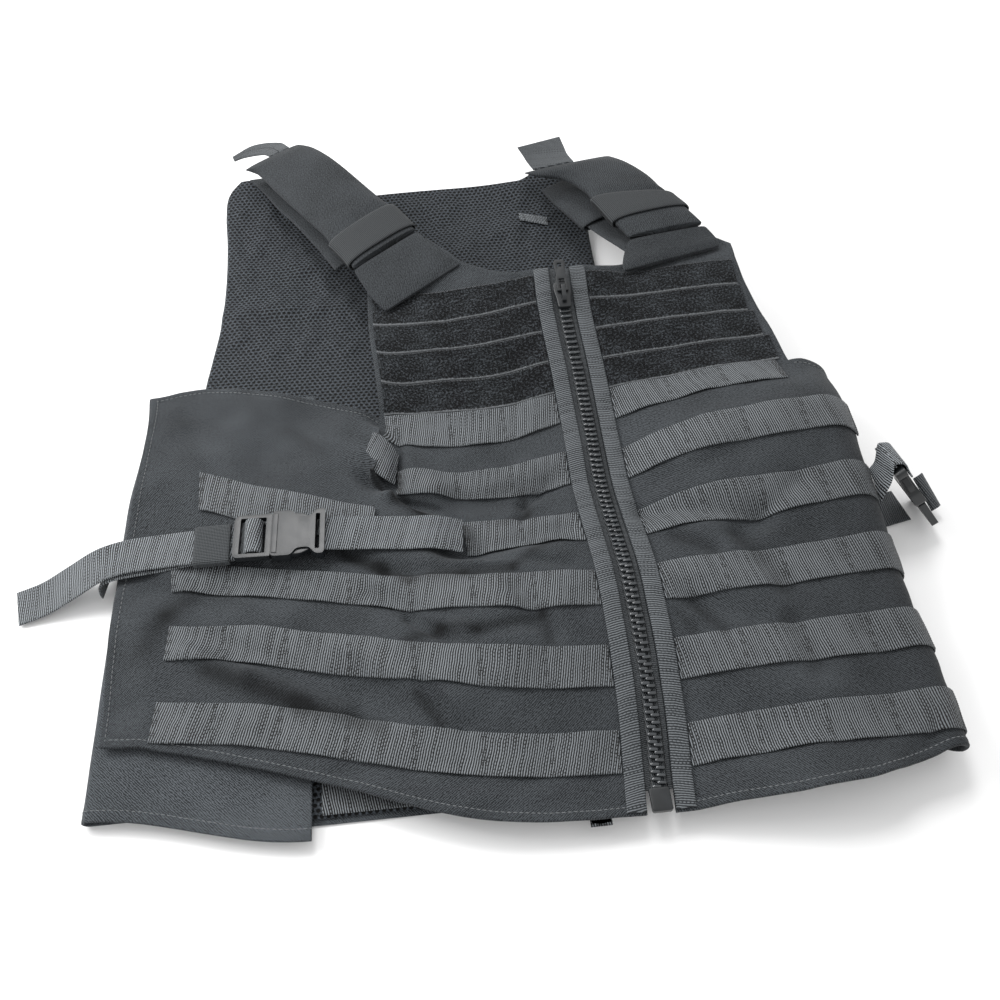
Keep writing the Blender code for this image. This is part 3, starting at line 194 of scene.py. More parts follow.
def curve_at(knots, values, at):
    """Smooth curve through the values at the knots, held level outside them; one table or one per place."""
    at = np.asarray(at, float)
    flat = at.ravel()
    knots, values = (np.asarray(t, float) for t in (knots, values))
    knots, values = (np.repeat(t[:, None], flat.size, 1) if t.ndim == 1 else t for t in (knots, values))
    last = len(knots) - 1
    index = np.clip((knots <= flat).sum(0) - 1, 0, last - 1)

    def pick(table, i):
        return np.take_along_axis(table, i[None, :], 0)[0]

    def slope(i):
        low, high = np.maximum(i - 1, 0), np.minimum(i + 1, last)
        return (pick(values, high) - pick(values, low)) / (pick(knots, high) - pick(knots, low))

    start = pick(knots, index)
    span = pick(knots, index + 1) - start
    t = np.clip((flat - start) / span, 0, 1)
    result = ((1 + 2 * t) * (1 - t) ** 2 * pick(values, index) + t * (1 - t) ** 2 * span * slope(index)
              + t * t * (3 - 2 * t) * pick(values, index + 1) + t * t * (t - 1) * span * slope(index + 1))
    return result.reshape(at.shape)


def column(table, index, at):
    return curve_at(table[:, 0], table[:, index], at)


def smooth_step(low, high, at):
    t = np.clip((np.asarray(at, float) - low) / (high - low), 0, 1)
    return t * t * (3 - 2 * t)


def bump(at, middle, width):
    return np.exp(-((at - middle) / width) ** 2)


def ripple(x, y, size, seed, waves=9):
    """Soft random waves of about one size, between -1 and 1."""
    draw = np.random.default_rng(seed)
    total = 0
    for _ in range(waves):
        angle, phase = draw.uniform(0, math.tau, 2)
        length = size * draw.uniform(0.7, 1.6)
        total = total + np.sin((x * math.cos(angle) + y * math.sin(angle)) * math.tau / length + phase)
    return total / waves ** 0.5 / 1.6


def fold_height(table, half, across, along):
    """Sum of the soft ridges and valleys that a table gives for one half."""
    total = 0
    for a0, s0, a1, s1, width, height in table[half]:
        run_a, run_s = a1 - a0, s1 - s0
        t = np.clip(((across - a0) * run_a + (along - s0) * run_s) / (run_a ** 2 + run_s ** 2), 0, 1)
        away = (across - a0 - t * run_a) ** 2 + (along - s0 - t * run_s) ** 2
        total = total + height * np.exp(-away / width ** 2)
    return total + 0 * across


# The front surface

def back_lift(x, y):
    lift = sum(h * np.exp(-((x - cx) / rx) ** 2 - ((y - cy) / ry) ** 2) for cx, cy, rx, ry, h in BACK_RISES)
    return lift + 4.4 * smooth_step(82, 112, x) * (1 - smooth_step(20, 70, y))


def front_rest(x, y):
    on_lining = SHELL + GAP + MESH + back_lift(x, y) + CLOTH + 1.2
    on_wing = WING_LEAF_UP + SHELL + CLOTH + 1
    part = 1 - smooth_step(-118, -96, x)
    return on_lining * (1 - part) + on_wing * part


def front_points(half, across, along):
    """Outer face of the front cloth, across from the zip's middle and along from the hem."""
    across, along = np.broadcast_arrays(np.asarray(across, float), np.asarray(along, float))
    u, s = across.ravel(), along.ravel()
    zip_x, y, zip_z = (column(ZIP_SECTIONS, i, s) for i in (1, 2, 3))
    fold = fold_height(FOLDS, half, u, s)
    if half == LEFT:
        heights = np.stack([zip_z] + [column(LEFT_HEIGHTS, i, s) for i in range(1, 7)])
        z = curve_at(LEFT_STATIONS, heights, u) + fold
        y = y + curve_at(LEFT_STATIONS, LEFT_FAN, u) * column(LEFT_HEIGHTS, 7, s)
        sag = [0 * s] + [column(LEFT_SAG, i, s) for i in range(1, 5)] + [0 * s] * 2
        y = y - curve_at(LEFT_STATIONS, np.stack(sag), u)
        x = zip_x - u
        rest = front_rest(x, y)
        z = rest + REST_SOFT * np.logaddexp(0, (z - rest) / REST_SOFT)
    else:
        heights = np.stack([zip_z] + [column(RIGHT_HEIGHTS, i, s) for i in range(1, 5)])
        radius = (heights[-1] - UNDER_Z) / 2
        turn = SIDE_X - radius - zip_x
        knots = np.concatenate([np.repeat(RIGHT_STATIONS[:, None], u.size, 1), turn[None, :]])
        flat_z = curve_at(knots, heights, u) + fold * smooth_step(0, 12, turn - u)
        angle = np.clip((u - turn) / radius, 0, math.pi)
        past = np.maximum(u - turn - math.pi * radius, 0)
        x = np.where(u <= turn, zip_x + u, zip_x + turn + radius * np.sin(angle) - past)
        z = np.where(u <= turn, flat_z, UNDER_Z + radius * (1 + np.cos(angle)))
    return np.stack([x, y, z], -1).reshape(across.shape + (3,))


def small_creases(half, across, along):
    """Height of the small waves of the cloth."""
    soft = 1.2 * ripple(across, along, 62, 3 + half) + 0.44 * ripple(across, along, 24, 8 + half)
    return under_share(half, across) * (soft + fold_height(FINE_FOLDS, half, across, along))


def painted_fold_shade(half, across, along):
    """How much painted shade the cloth gets in its folds, from 0 to 1."""
    return np.clip(fold_height(PAINTED_SHADE_FOLDS, half, across, along), 0, 1)


def under_share(half, across):
    """Nothing stands proud on the cloth that lies under the vest."""
    return 1 if half == LEFT else 1 - smooth_step(196, 222, across)


def front_layer(half, across, along, height):
    """Point at a height over the outer face, with the small creases."""
    across, along = np.broadcast_arrays(np.asarray(across, float), np.asarray(along, float))
    step = 2
    low = np.maximum(across - step, 0)
    du = front_points(half, across + step, along) - front_points(half, low, along)
    dv = front_points(half, across, along + step) - front_points(half, across, along - step)
    normal = np.cross(du, dv) * half
    normal /= np.linalg.norm(normal, axis=-1, keepdims=True)
    rise = height + small_creases(half, across, along)
    return front_points(half, across, along) + normal * rise[..., None]


def hem_along(half, across):
    under = 0
    if half == RIGHT:
        under = 7 * smooth_step(110, 170, across) + 12 * smooth_step(186, 214, across)
    return 0.084 * np.maximum(across - 60, 0) * smooth_step(60, 170, across) + under


def wing_top(across):
    toward_chest = 6 * (1 - smooth_step(CHEST_EDGE, 172, across))
    return WING_TOP + toward_chest - 11 * smooth_step(265, 312, across)


def neck_along(half, across):
    return column(NECK_EDGE, 1 if half == LEFT else 2, across)


def chest_reach(half, along):
    return CHEST_EDGE - (10 if half == RIGHT else 0) * smooth_step(310, 400, along)


# Mesh makers

def to_metres(points):
    return (np.asarray(points, float) - SHIFT) * MM


def show(obj, body="vest", stands_for=None):
    """Lets a finished piece ride on its body and stand for its plain node."""
    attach(obj, body)
    if stands_for:
        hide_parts(stands_for)
    return obj


def linked(name, data):
    """New object in the scene."""
    obj = bpy.data.objects.new(name, data)
    bpy.context.scene.collection.objects.link(obj)
    return obj


def plain_mesh(obj):
    """The finished mesh of an object, which goes."""
    bpy.context.view_layer.update()
    mesh = bpy.data.meshes.new_from_object(obj.evaluated_get(bpy.context.evaluated_depsgraph_get()))
    bpy.data.objects.remove(obj)
    return mesh


def make_object(name, points, faces, material, places, dark=None):
    """Object from points in table millimetres and faces of four; places are millimetres on the cloth."""
    used, faces = np.unique(np.asarray(faces, np.int32), return_inverse=True)
    points = to_metres(points)[used]
    corners = faces.reshape(-1, 4)
    a, b, c, d = (points[corners[:, i]] for i in range(4))
    volume = (a * np.cross(b, c)).sum() + (a * np.cross(c, d)).sum()
    corners = np.ascontiguousarray(corners[:, ::-1] if volume < 0 else corners, np.int32)
    mesh = bpy.data.meshes.new(name)
    mesh.vertices.add(len(points))
    mesh.vertices.foreach_set("co", points.ravel().astype(np.float32))
    mesh.loops.add(corners.size)
    mesh.loops.foreach_set("vertex_index", corners.ravel())
    mesh.polygons.add(len(corners))
    mesh.polygons.foreach_set("loop_start", np.arange(len(corners), dtype=np.int32) * 4)
    layer = mesh.uv_layers.new(name="cloth")
    on_cloth = np.asarray(places, float)[used][corners.ravel()] / UV_MM
    layer.data.foreach_set("uv", on_cloth.ravel().astype(np.float32))
    # A point attribute carries the painted shade of the folds to the finishes.
    if dark is not None:
        layer = mesh.attributes.new("painted_fold_shade", "FLOAT", "POINT")
        layer.data.foreach_set("value", np.asarray(dark, float)[used].astype(np.float32))
    mesh.update(calc_edges=True)
    mesh.validate()
    mesh.shade_smooth()
    mesh.materials.append(material)
    return linked(name, mesh)


def closed_sheet(name, outer, inner, places, material, cells=None, dark=None):
    """Closed sheet between two equal grids of points."""
    rows, cols = outer.shape[:2]
    cells = np.ones((rows - 1, cols - 1), bool) if cells is None else cells
    corner = np.arange(rows * cols).reshape(rows, cols)
    a, b, c, d = corner[:-1, :-1], corner[:-1, 1:], corner[1:, 1:], corner[1:, :-1]
    under = rows * cols
    around = np.pad(cells, 1)
    faces = [np.stack([a, b, c, d], -1)[cells], np.stack([d, c, b, a], -1)[cells] + under]
    for p, q, beside in ((a, b, around[:-2, 1:-1]), (b, c, around[1:-1, 2:]),
                         (c, d, around[2:, 1:-1]), (d, a, around[1:-1, :-2])):
        edge = cells & ~beside
        faces.append(np.stack([q, p, p + under, q + under], -1)[edge])
    points = np.concatenate([outer.reshape(-1, 3), inner.reshape(-1, 3)])
    flat = places.reshape(-1, 2)
    # dark is the painted fold shade of each point, the same on both faces.
    dark = None if dark is None else np.concatenate([dark.ravel(), dark.ravel()])
    return make_object(name, points, np.concatenate(faces), material, np.concatenate([flat, flat]), dark=dark)


def tube_object(name, rings, places, material, loop=False):
    """Solid through equal rings of points; places gives millimetres round and along for each point."""
    rings = np.asarray(rings, float)
    count, around = rings.shape[:2]
    at = np.arange(count * around).reshape(count, around)
    nxt = np.roll(at, -1, 1)
    faces = [np.stack([at[:-1], nxt[:-1], nxt[1:], at[1:]], -1).reshape(-1, 4)]
    points, uv = rings.reshape(-1, 3), np.asarray(places, float).reshape(-1, 2)
    if loop:
        faces.append(np.stack([at[-1], nxt[-1], nxt[0], at[0]], -1).reshape(-1, 4))
    else:
        half = around // 2
        for ring, flip in ((at[0], True), (at[-1], False)):
            low, high = ring[:half + 1], np.concatenate([ring[half:], ring[:1]])[::-1]
            caps = np.stack([low[:-1], low[1:], high[1:], high[:-1]], -1)
            faces.append(caps[:, ::-1] if flip else caps)
    return make_object(name, points, np.concatenate(faces), material, uv)


def steps(low, high, cell, fine_low=True, fine_high=True):
    """Places between two limits, close together at the ends for a rolled edge."""
    near = np.array((0, 0.25, 0.7, 1.3, 2.2, 3.2, 4.2, 5, 5.8, 7, 8.6))
    start = low + near if fine_low else np.array((low,))
    end = (high - near)[::-1] if fine_high else np.array((high,))
    count = max(2, int(round((end[0] - start[-1]) / cell)))
    return np.concatenate([start[:-1], np.linspace(start[-1], end[0], count + 1), end[1:]])


def edge_distance(x, y, left, low, right, high):
    """Distance to the nearest side of a rectangle."""
    return np.minimum(np.minimum(x - left, right - x), np.minimum(y - low, high - y))


def rolled(distance, radius):
    """How far a face drops toward a rounded edge."""
    inside = np.clip(radius - distance, 0, radius)
    return radius - np.sqrt(np.maximum(radius ** 2 - inside ** 2, 0))


# Finishes

def node(tree, kind, inputs=None, **settings):
    made = tree.nodes.new(kind)
    for key, value in settings.items():
        setattr(made, key, value)
    for key, value in (inputs or {}).items():
        if isinstance(value, bpy.types.NodeSocket):
            tree.links.new(value, made.inputs[key])
        else:
            made.inputs[key].default_value = value
    return made


def grey(level, tint=(0.84, 1, 1.15)):
    """Dark grey of the vest's dye; the tint is stronger in the shade."""
    return (*(level * t for t in tint), 1)


class Finish:
    """Material with the steps that the finishes below share; lengths are in millimetres on the cloth."""

    def __init__(self, name, roughness, sheen=0, sheen_tint=(1, 1, 1, 1), gloss=0.18):
        self.material = bpy.data.materials.new(name)
        self.material.use_nodes = True
        self.tree = self.material.node_tree
        self.inputs = self.tree.nodes["Principled BSDF"].inputs
        for key, value in (("Roughness", roughness), ("Sheen Weight", sheen), ("Sheen Roughness", 0.5),
                           ("Sheen Tint", sheen_tint), ("Specular IOR Level", gloss)):
            self.inputs[key].default_value = value

    def cloth_place(self):
        """Across and along on the cloth, and both as a vector."""
        uv = node(self.tree, "ShaderNodeUVMap", uv_map="cloth").outputs[0]
        scaled = node(self.tree, "ShaderNodeVectorMath", {0: uv, 3: UV_MM}, operation="SCALE").outputs[0]
        parts = node(self.tree, "ShaderNodeSeparateXYZ", {0: scaled}).outputs
        return parts[0], parts[1], scaled

    def own_place(self):
        return node(self.tree, "ShaderNodeTexCoord").outputs["Object"]

    def calc(self, operation, a, b=0, c=0):
        return node(self.tree, "ShaderNodeMath", {0: a, 1: b, 2: c}, operation=operation).outputs[0]

    def plus(self, a, b):
        return self.calc("ADD", a, b)

    def less(self, a, b):
        return self.calc("SUBTRACT", a, b)

    def times(self, a, b, then_add=None):
        return self.calc("MULTIPLY", a, b) if then_add is None else self.calc("MULTIPLY_ADD", a, b, then_add)

    def wave(self, value, pitch):
        """Wave between 0 and 1."""
        return self.times(self.calc("SINE", self.times(value, math.tau / pitch, 0)), 0.5, 0.5)

    def off_middle(self, value, pitch):
        """Distance from the middle of the cell that a place is in, as a share of the cell."""
        return self.calc("ABSOLUTE", self.less(self.calc("FRACT", self.calc("DIVIDE", value, pitch)), 0.5))

    def noise(self, vector, scale, detail=2, rough=0.5):
        return node(self.tree, "ShaderNodeTexNoise", {"Vector": vector, "Scale": scale, "Detail": detail,
                                                      "Roughness": rough}).outputs[0]

    def ramp(self, value, low, high):
        return node(self.tree, "ShaderNodeMapRange", {"Value": value, "From Min": low, "From Max": high},
                    interpolation_type="SMOOTHSTEP").outputs[0]

    def blend(self, part, low, high):
        return node(self.tree, "ShaderNodeMix", {0: part, 6: low, 7: high}, data_type="RGBA").outputs[2]

    def with_painted_shade(self, colour, share):
        """Painted shade: colour made darker where the mesh says that a fold lies in shade."""
        hidden = node(self.tree, "ShaderNodeAttribute", attribute_name="painted_fold_shade").outputs["Fac"]
        return self.blend(self.times(hidden, share), colour, grey(0.001))

    def done(self, colour, height=None, distance=0, strength=1):
        """Colour and relief put on; distance is in metres."""
        self.tree.links.new(colour, self.inputs["Base Color"])
        if height is not None:
            bump = node(self.tree, "ShaderNodeBump", {"Height": height, "Distance": distance,
                                                      "Strength": strength})
            self.tree.links.new(bump.outputs[0], self.inputs["Normal"])
        return self.material


def cloth_finish(name, level=0.031):
    """Coarse woven nylon: fine diagonal weave, cloudy wear, a few pale specks and painted shade in folds."""
    f = Finish(name, 0.82, sheen=0.05)
    across, along, place = f.cloth_place()
    wander = f.times(f.noise(place, 0.35), 2.6)
    one = f.wave(f.plus(f.plus(across, along), wander), 1.6)
    two = f.wave(f.less(across, along), 1.35)
    yarn = f.times(one, 0.65, f.times(two, 0.35))
    grain = f.noise(place, 0.72, 4, 0.85)
    cloudy = f.noise(place, 0.022, 4, 0.55)
    tone = f.times(cloudy, 0.35, f.times(yarn, 0.5, f.times(grain, 1.3)))
    colour = f.blend(f.ramp(tone, 0.84, 1.28), grey(level * 0.2), grey(level * 2.2, (0.9, 1, 1.1)))
    lint = f.ramp(f.noise(place, 0.55, 1), 0.83, 0.86)
    colour = f.blend(f.times(lint, 0.25), colour, grey(0.2))
    # Painted shade in the folds.
    return f.done(f.with_painted_shade(colour, 0.85), f.times(grain, 0.5, yarn), 0.00022, 0.6)


def webbing_finish(name, level=0.05, pitch=1.4, along_ribs=False, contrast=1, lean=0.2):
    """Heavy woven webbing: ribs across its width, each of short bright floats with dark grooves."""
    f = Finish(name, 0.62, sheen=0.06, gloss=0.3)
    across, along, place = f.cloth_place()
    run, width = (along, across) if along_ribs else (across, along)
    wander = f.times(f.noise(place, 0.12), 1.4)
    run = f.plus(f.times(width, lean, run), wander)
    rib = f.wave(run, pitch)
    number = f.calc("FLOOR", f.calc("DIVIDE", run, pitch))
    each = node(f.tree, "ShaderNodeTexWhiteNoise", {"W": number}, noise_dimensions="1D").outputs[0]
    floats = f.wave(f.times(each, 1.6, f.times(number, 0.8, width)), 2.2)
    broad = f.noise(place, 0.06, 3, 0.6)
    grain = f.noise(place, 2.4, 2, 0.8)
    tone = f.times(f.ramp(rib, 0.2, 0.9), f.times(floats, 0.5, f.times(each, 0.45, 0.3)))
    tone = f.plus(tone, f.times(grain, 0.5, -0.25))
    tone = f.plus(tone, f.times(broad, 0.6, -0.3))
    low, high = grey(level * (1 - 0.94 * contrast)), grey(level * (1 + 3 * contrast), (0.92, 1, 1.07))
    colour = f.blend(f.ramp(tone, 0.22, 0.56), low, high)
    # Painted shade in the folds, lighter than on the cloth.
    return f.done(f.with_painted_shade(colour, 0.6), f.times(floats, 0.3, f.times(grain, 0.3, rib)), 0.00045, 0.8)


def loop_finish(name):
    """Fuzzy loop tape, nearly black, with a pale woven edge."""
    f = Finish(name, 0.95, sheen=0.1, sheen_tint=(0.5, 0.52, 0.55, 1))
    _, along, place = f.cloth_place()
    fuzz = f.noise(place, 0.62, 3, 0.85)
    tufts = node(f.tree, "ShaderNodeTexVoronoi", {"Vector": place, "Scale": 0.75}).outputs[0]
    part = f.ramp(f.times(f.noise(place, 0.05, 3), 0.25, fuzz), 0.58, 0.8)
    colour = f.blend(part, grey(0.0006), grey(0.06, (0.88, 1, 1.12)))
    side = f.calc("ABSOLUTE", f.less(along, WEBBING / 2))
    edge = f.ramp(f.times(fuzz, 3, side), 12.7, 13.9)
    colour = f.blend(f.times(edge, 0.8), colour, grey(0.19, (0.95, 1, 1.05)))
    return f.done(colour, f.less(fuzz, f.times(tufts, 0.6)), 0.0009, 0.8)


def elastic_finish(name, level):
    """Ribbed elastic band, fine cords along its length."""
    f = Finish(name, 0.75, sheen=0.05)
    across, along, place = f.cloth_place()
    tone = f.times(f.wave(across, 1.15), 0.6, f.times(f.wave(along, 1), 0.35, f.noise(place, 1.6, 2, 0.7)))
    colour = f.blend(f.ramp(tone, 0.55, 1.35), grey(level * 0.08), grey(level, (0.92, 1, 1.06)))
    return f.done(colour, tone, 0.0003, 0.7)


def spacer_finish(name):
    """Knitted spacer mesh: rows of small holes between shiny ridges."""
    f = Finish(name, 0.7, sheen=0.03)
    across, along, place = f.cloth_place()
    row = f.calc("FLOOR", f.calc("DIVIDE", along, 3.1))
    aside = f.times(f.off_middle(f.times(row, 1.9, across), 3.8), 3.8)
    ahead = f.times(f.off_middle(along, 3.1), 3.5)
    away = f.calc("SQRT", f.plus(f.calc("POWER", aside, 2), f.calc("POWER", ahead, 2)))
    solid = f.ramp(away, 0.95, 1.5)
    grain = f.noise(place, 0.8, 3, 0.7)
    colour = f.blend(f.times(solid, f.ramp(grain, 0.3, 0.65)), grey(0.0003), grey(0.078, (0.86, 1, 1.16)))
    return f.done(colour, f.times(grain, 0.3, solid), 0.0012, 0.9)


def plastic_finish(name, level, roughness, gloss):
    """Moulded nylon: satin, with fine texture and soft patches of slightly paler tone."""
    f = Finish(name, roughness, gloss=gloss)
    own = f.own_place()
    fine, broad = f.noise(own, 2600, 3, 0.7), f.noise(own, 120, 3)
    colour = f.blend(f.ramp(f.times(fine, 0.4, broad), 0.4, 1.1), grey(level * 0.75), grey(level * 1.5))
    f.tree.links.new(f.times(broad, 0.16, roughness - 0.06), f.inputs["Roughness"])
    return f.done(colour, fine, 0.00005, 0.5)


def thread_finish(name, level):
    f = Finish(name, 0.7, sheen=0.2)
    low, high = (grey(level * k, (0.95, 1, 1.03)) for k in (0.5, 1.5))
    return f.done(f.blend(f.noise(f.own_place(), 1800), low, high))


CLOTH_FINISH = cloth_finish("coarse_nylon")
PAD_FINISH = cloth_finish("pad_nylon", 0.024)
BACK_FINISH = cloth_finish("back_nylon", 0.045)
WEBBING_FINISH = webbing_finish("row_webbing")
STRAP_FINISH = webbing_finish("strap_webbing", 0.064)
TAIL_FINISH = webbing_finish("tail_webbing", 0.042, contrast=0.5)
BINDING_FINISH = webbing_finish("zip_binding", 0.05, pitch=1.5, along_ribs=True, contrast=0.7)
TAPE_FINISH = webbing_finish("zip_tape", 0.035, pitch=1.1, along_ribs=True, contrast=0.5)
LOOP_FINISH = loop_finish("loop_tape")
ELASTIC_FINISH = elastic_finish("ribbed_elastic", 0.062)
KEEPER_FINISH = elastic_finish("keeper_elastic", 0.085)
MESH_FINISH = spacer_finish("spacer_mesh")
PLASTIC_FINISH = plastic_finish("buckle_plastic", 0.011, 0.3, 0.45)
TEETH_FINISH = plastic_finish("teeth_plastic", 0.024, 0.2, 0.8)
SLIDER_FINISH = plastic_finish("slider_enamel", 0.012, 0.3, 0.5)
THREAD_FINISH = thread_finish("grey_thread", 0.16)
SEAM_FINISH = thread_finish("seam_thread", 0.04)
DARK_THREAD_FINISH = thread_finish("dark_thread", 0.016)


# What repeats along a line: stitches and zip teeth

def run_tree(name, sizes, make_item):
    """Sets one item for each pitch along every curve; sizes names the inputs that shape the item."""
    tree = bpy.data.node_groups.new(name, "GeometryNodeTree")
    for in_out in ("INPUT", "OUTPUT"):
        tree.interface.new_socket("Geometry", in_out=in_out, socket_type="NodeSocketGeometry")
    for size in ("Pitch", *sizes):
        tree.interface.new_socket(size, in_out="INPUT", socket_type="NodeSocketFloat")
    tree.interface.new_socket("Finish", in_out="INPUT", socket_type="NodeSocketMaterial")
    given = tree.nodes.new("NodeGroupInput").outputs
    end = tree.nodes.new("NodeGroupOutput")
    points = node(tree, "GeometryNodeCurveToPoints", {"Curve": given["Geometry"], "Length": given["Pitch"]},
                  mode="LENGTH").outputs
    last = node(tree, "GeometryNodeInstanceOnPoints", {"Points": points["Points"],
                                                       "Instance": make_item(tree, given),
                                                       "Rotation": points["Rotation"]}).outputs[0]
    for kind in ("GeometryNodeRealizeInstances", "GeometryNodeSetShadeSmooth"):
        last = node(tree, kind, {"Geometry": last}).outputs[0]
    coat = node(tree, "GeometryNodeSetMaterial", {"Geometry": last, "Material": given["Finish"]})
    tree.links.new(coat.outputs[0], end.inputs[0])
    return tree


def sized(tree, mesh, x, y, z):
    size = node(tree, "ShaderNodeCombineXYZ", {0: x, 1: y, 2: z}).outputs[0]
    return node(tree, "GeometryNodeTransform", {"Geometry": mesh, "Scale": size}).outputs[0]


def one_stitch(tree, given):
    """Short bulge of thread along the line."""
    ball = node(tree, "GeometryNodeMeshUVSphere", {"Segments": 6, "Rings": 3, "Radius": 1}).outputs["Mesh"]
    half = node(tree, "ShaderNodeMath", {0: given["Length"], 1: 0.5}, operation="MULTIPLY").outputs[0]
    return sized(tree, ball, given["Radius"], given["Radius"], half)


def one_tooth(tree, given):
    """Rounded block across the line."""
    block = node(tree, "GeometryNodeMeshCube", {"Vertices X": 3, "Vertices Y": 3, "Vertices Z": 3})
    soft = node(tree, "GeometryNodeSubdivisionSurface", {"Mesh": block.outputs["Mesh"], "Level": 1,
                                                         "Edge Crease": 0.45}).outputs[0]
    return sized(tree, soft, given["Reach"], given["Height"], given["Width"])


STITCH_TREE = run_tree("stitch_run", ("Length", "Radius"), one_stitch)
TEETH_TREE = run_tree("zip_teeth_run", ("Reach", "Width", "Height"), one_tooth)


def curve_object(name, lines):
    """Curve with one straight-segment run for each line of points in table millimetres."""
    data = bpy.data.curves.new(name, "CURVE")
    data.dimensions = "3D"
    for line in lines:
        points = to_metres(line)
        run = data.splines.new("POLY")
        run.points.add(len(points) - 1)
        run.points.foreach_set("co", np.concatenate([points, np.ones((len(points), 1))], 1).ravel())
    return linked(name, data)


def grown(obj, tree, finish, name, **sizes):
    """Plain mesh object of a tree run on a curve, which goes; sizes are in millimetres."""
    values = {key: size * MM for key, size in sizes.items()}
    values["Finish"] = finish
    work = obj.modifiers.new("grow", "NODES")
    work.node_group = tree
    for item in tree.interface.items_tree:
        if item.in_out == "INPUT" and item.name in values:
            work[item.identifier] = values[item.name]
    mesh = plain_mesh(obj)
    mesh.name = name
    return linked(name, mesh)


def stitches(name, lines, pitch=3.3, length=2.5, radius=0.3, thread=THREAD_FINISH):
    run = curve_object(name + "_run", lines)
    show(grown(run, STITCH_TREE, thread, name, Pitch=pitch, Length=length, Radius=radius))


# Front cloth

def front_grid(half):
    """Across and along of the front half's fine grid, the cells that are cloth and the distance to its edge."""
    chest = steps(0, CHEST_EDGE - ZIP_EDGE, 2.5, fine_low=False)
    wing = steps(0, 165, 2.6)[1:]
    low = steps(0, CHEST_JOIN, 2.6)
    high = steps(0, 110, 2.6)[1:]
    rows, cols = len(low) + len(high), len(chest) + len(wing)
    across, along = np.zeros((rows, cols)), np.zeros((rows, cols))
    for r in range(rows):
        for_wing = min(r, len(low) - 1)
        guess = low[for_wing] if r < len(low) else CHEST_JOIN + high[r - len(low)]
        reach = float(chest_reach(half, guess))
        across[r, :len(chest)] = ZIP_EDGE + (reach - ZIP_EDGE) * chest / chest[-1]
        outer = float(curve_at(*WING_REACH, guess))
        across[r, len(chest):] = reach + (outer - reach) * wing / wing[-1]
    top = wing_top(across[0])
    hem = hem_along(half, across[0])
    for r, part in enumerate(low / CHEST_JOIN):
        along[r] = hem + (top - hem) * part
    for r, part in enumerate(high / high[-1]):
        along[len(low) + r] = CHEST_JOIN + (neck_along(half, across[len(low) + r]) - CHEST_JOIN) * part
    cells = np.ones((rows - 1, cols - 1), bool)
    cells[len(low) - 1:, len(chest) - 1:] = False
    corner = np.hypot(CHEST_EDGE - across, CHEST_JOIN - along)
    chest_side = np.where(along > CHEST_JOIN, chest_reach(half, along) - across, corner)
    arm = np.where(across > CHEST_EDGE, top - along, chest_side)
    edges = (along - hem_along(half, across), curve_at(*WING_REACH, along) - across,
             neck_along(half, across) - along, np.abs(arm))
    return across, along, cells, np.min(edges, axis=0)


def front_cloth(half, side):
    across, along, cells, edge = front_grid(half)
    edge = np.maximum(edge, 0)
    hemmed = 0.55 * (1 - smooth_step(5, 6.6, edge)) - 0.4 * bump(edge, 5.2, 0.8)
    drop = rolled(edge, CLOTH / 2)
    outer = front_layer(half, across, along, hemmed - drop)
    inner = front_layer(half, across, along, -CLOTH + drop)
    obj = closed_sheet(f"front_cloth_{side}", outer, inner, np.stack([across, along], -1), CLOTH_FINISH, cells,
                       painted_fold_shade(half, across, along))
    show(obj, stands_for=f"front_panel_{side}")


def front_strip(half, name, low, high, start, end, thick, lift, finish, node_name, whole_along=False,
                drift=None):
    """Strip sewn on the front, with rounded edges; lift and drift are functions of its place."""
    near = np.array((0, 0.12, 0.4, 0.9, 1.8))

    def filled(first, last, margin, count):
        return np.concatenate([first + near, np.linspace(first + margin, last - margin, count),
                               (last - near)[::-1]])

    v = filled(low, high, 3.5, int((high - low - 7) / STRIP_CELL) if whole_along else 8)
    u = filled(start, end, 3, 5 if whole_along else int((end - start - 6) / STRIP_CELL))
    across, along = np.meshgrid(u, v)
    drop = rolled(edge_distance(across, along, start, low, end, high), thick / 2)
    base = lift(across, along)
    places = np.stack([across, along - low], -1)
    along = along if drift is None else along + drift(across)
    outer = front_layer(half, across, along, base + thick - drop)
    inner = front_layer(half, across, along, base + drop)
    obj = closed_sheet(name, outer, inner, places, finish, dark=painted_fold_shade(half, across, along))
    show(obj, stands_for=node_name)


def row_lift(half):
    """The webbing is pinned at each tack and stands a little off the cloth between two."""
    def lift(across, along):
        between = np.sin(math.pi * (across - FIRST_TACK) / TACK_PITCH) ** 2
        return ROW_LIFT + ROW_ARCH * between * under_share(half, across)
    return lift


def row_drift(half, index, on_wing):
    """How far the outer ends of a left row lie off a straight line; the wing's piece of row 3 bends most."""
    def drift(across):
        if half == LEFT and on_wing:
            return 7 * smooth_step(225, 272, across) - 3 * (1 - smooth_step(160, 240, across))
        if half == LEFT and index in (4, 5):
            return -3.5 * smooth_step(220, 285, across)
        return 0 * across
    return drift


def band_lift(across, along):
    return 0.35 + 0.25 * ripple(across, along, 46, 21)


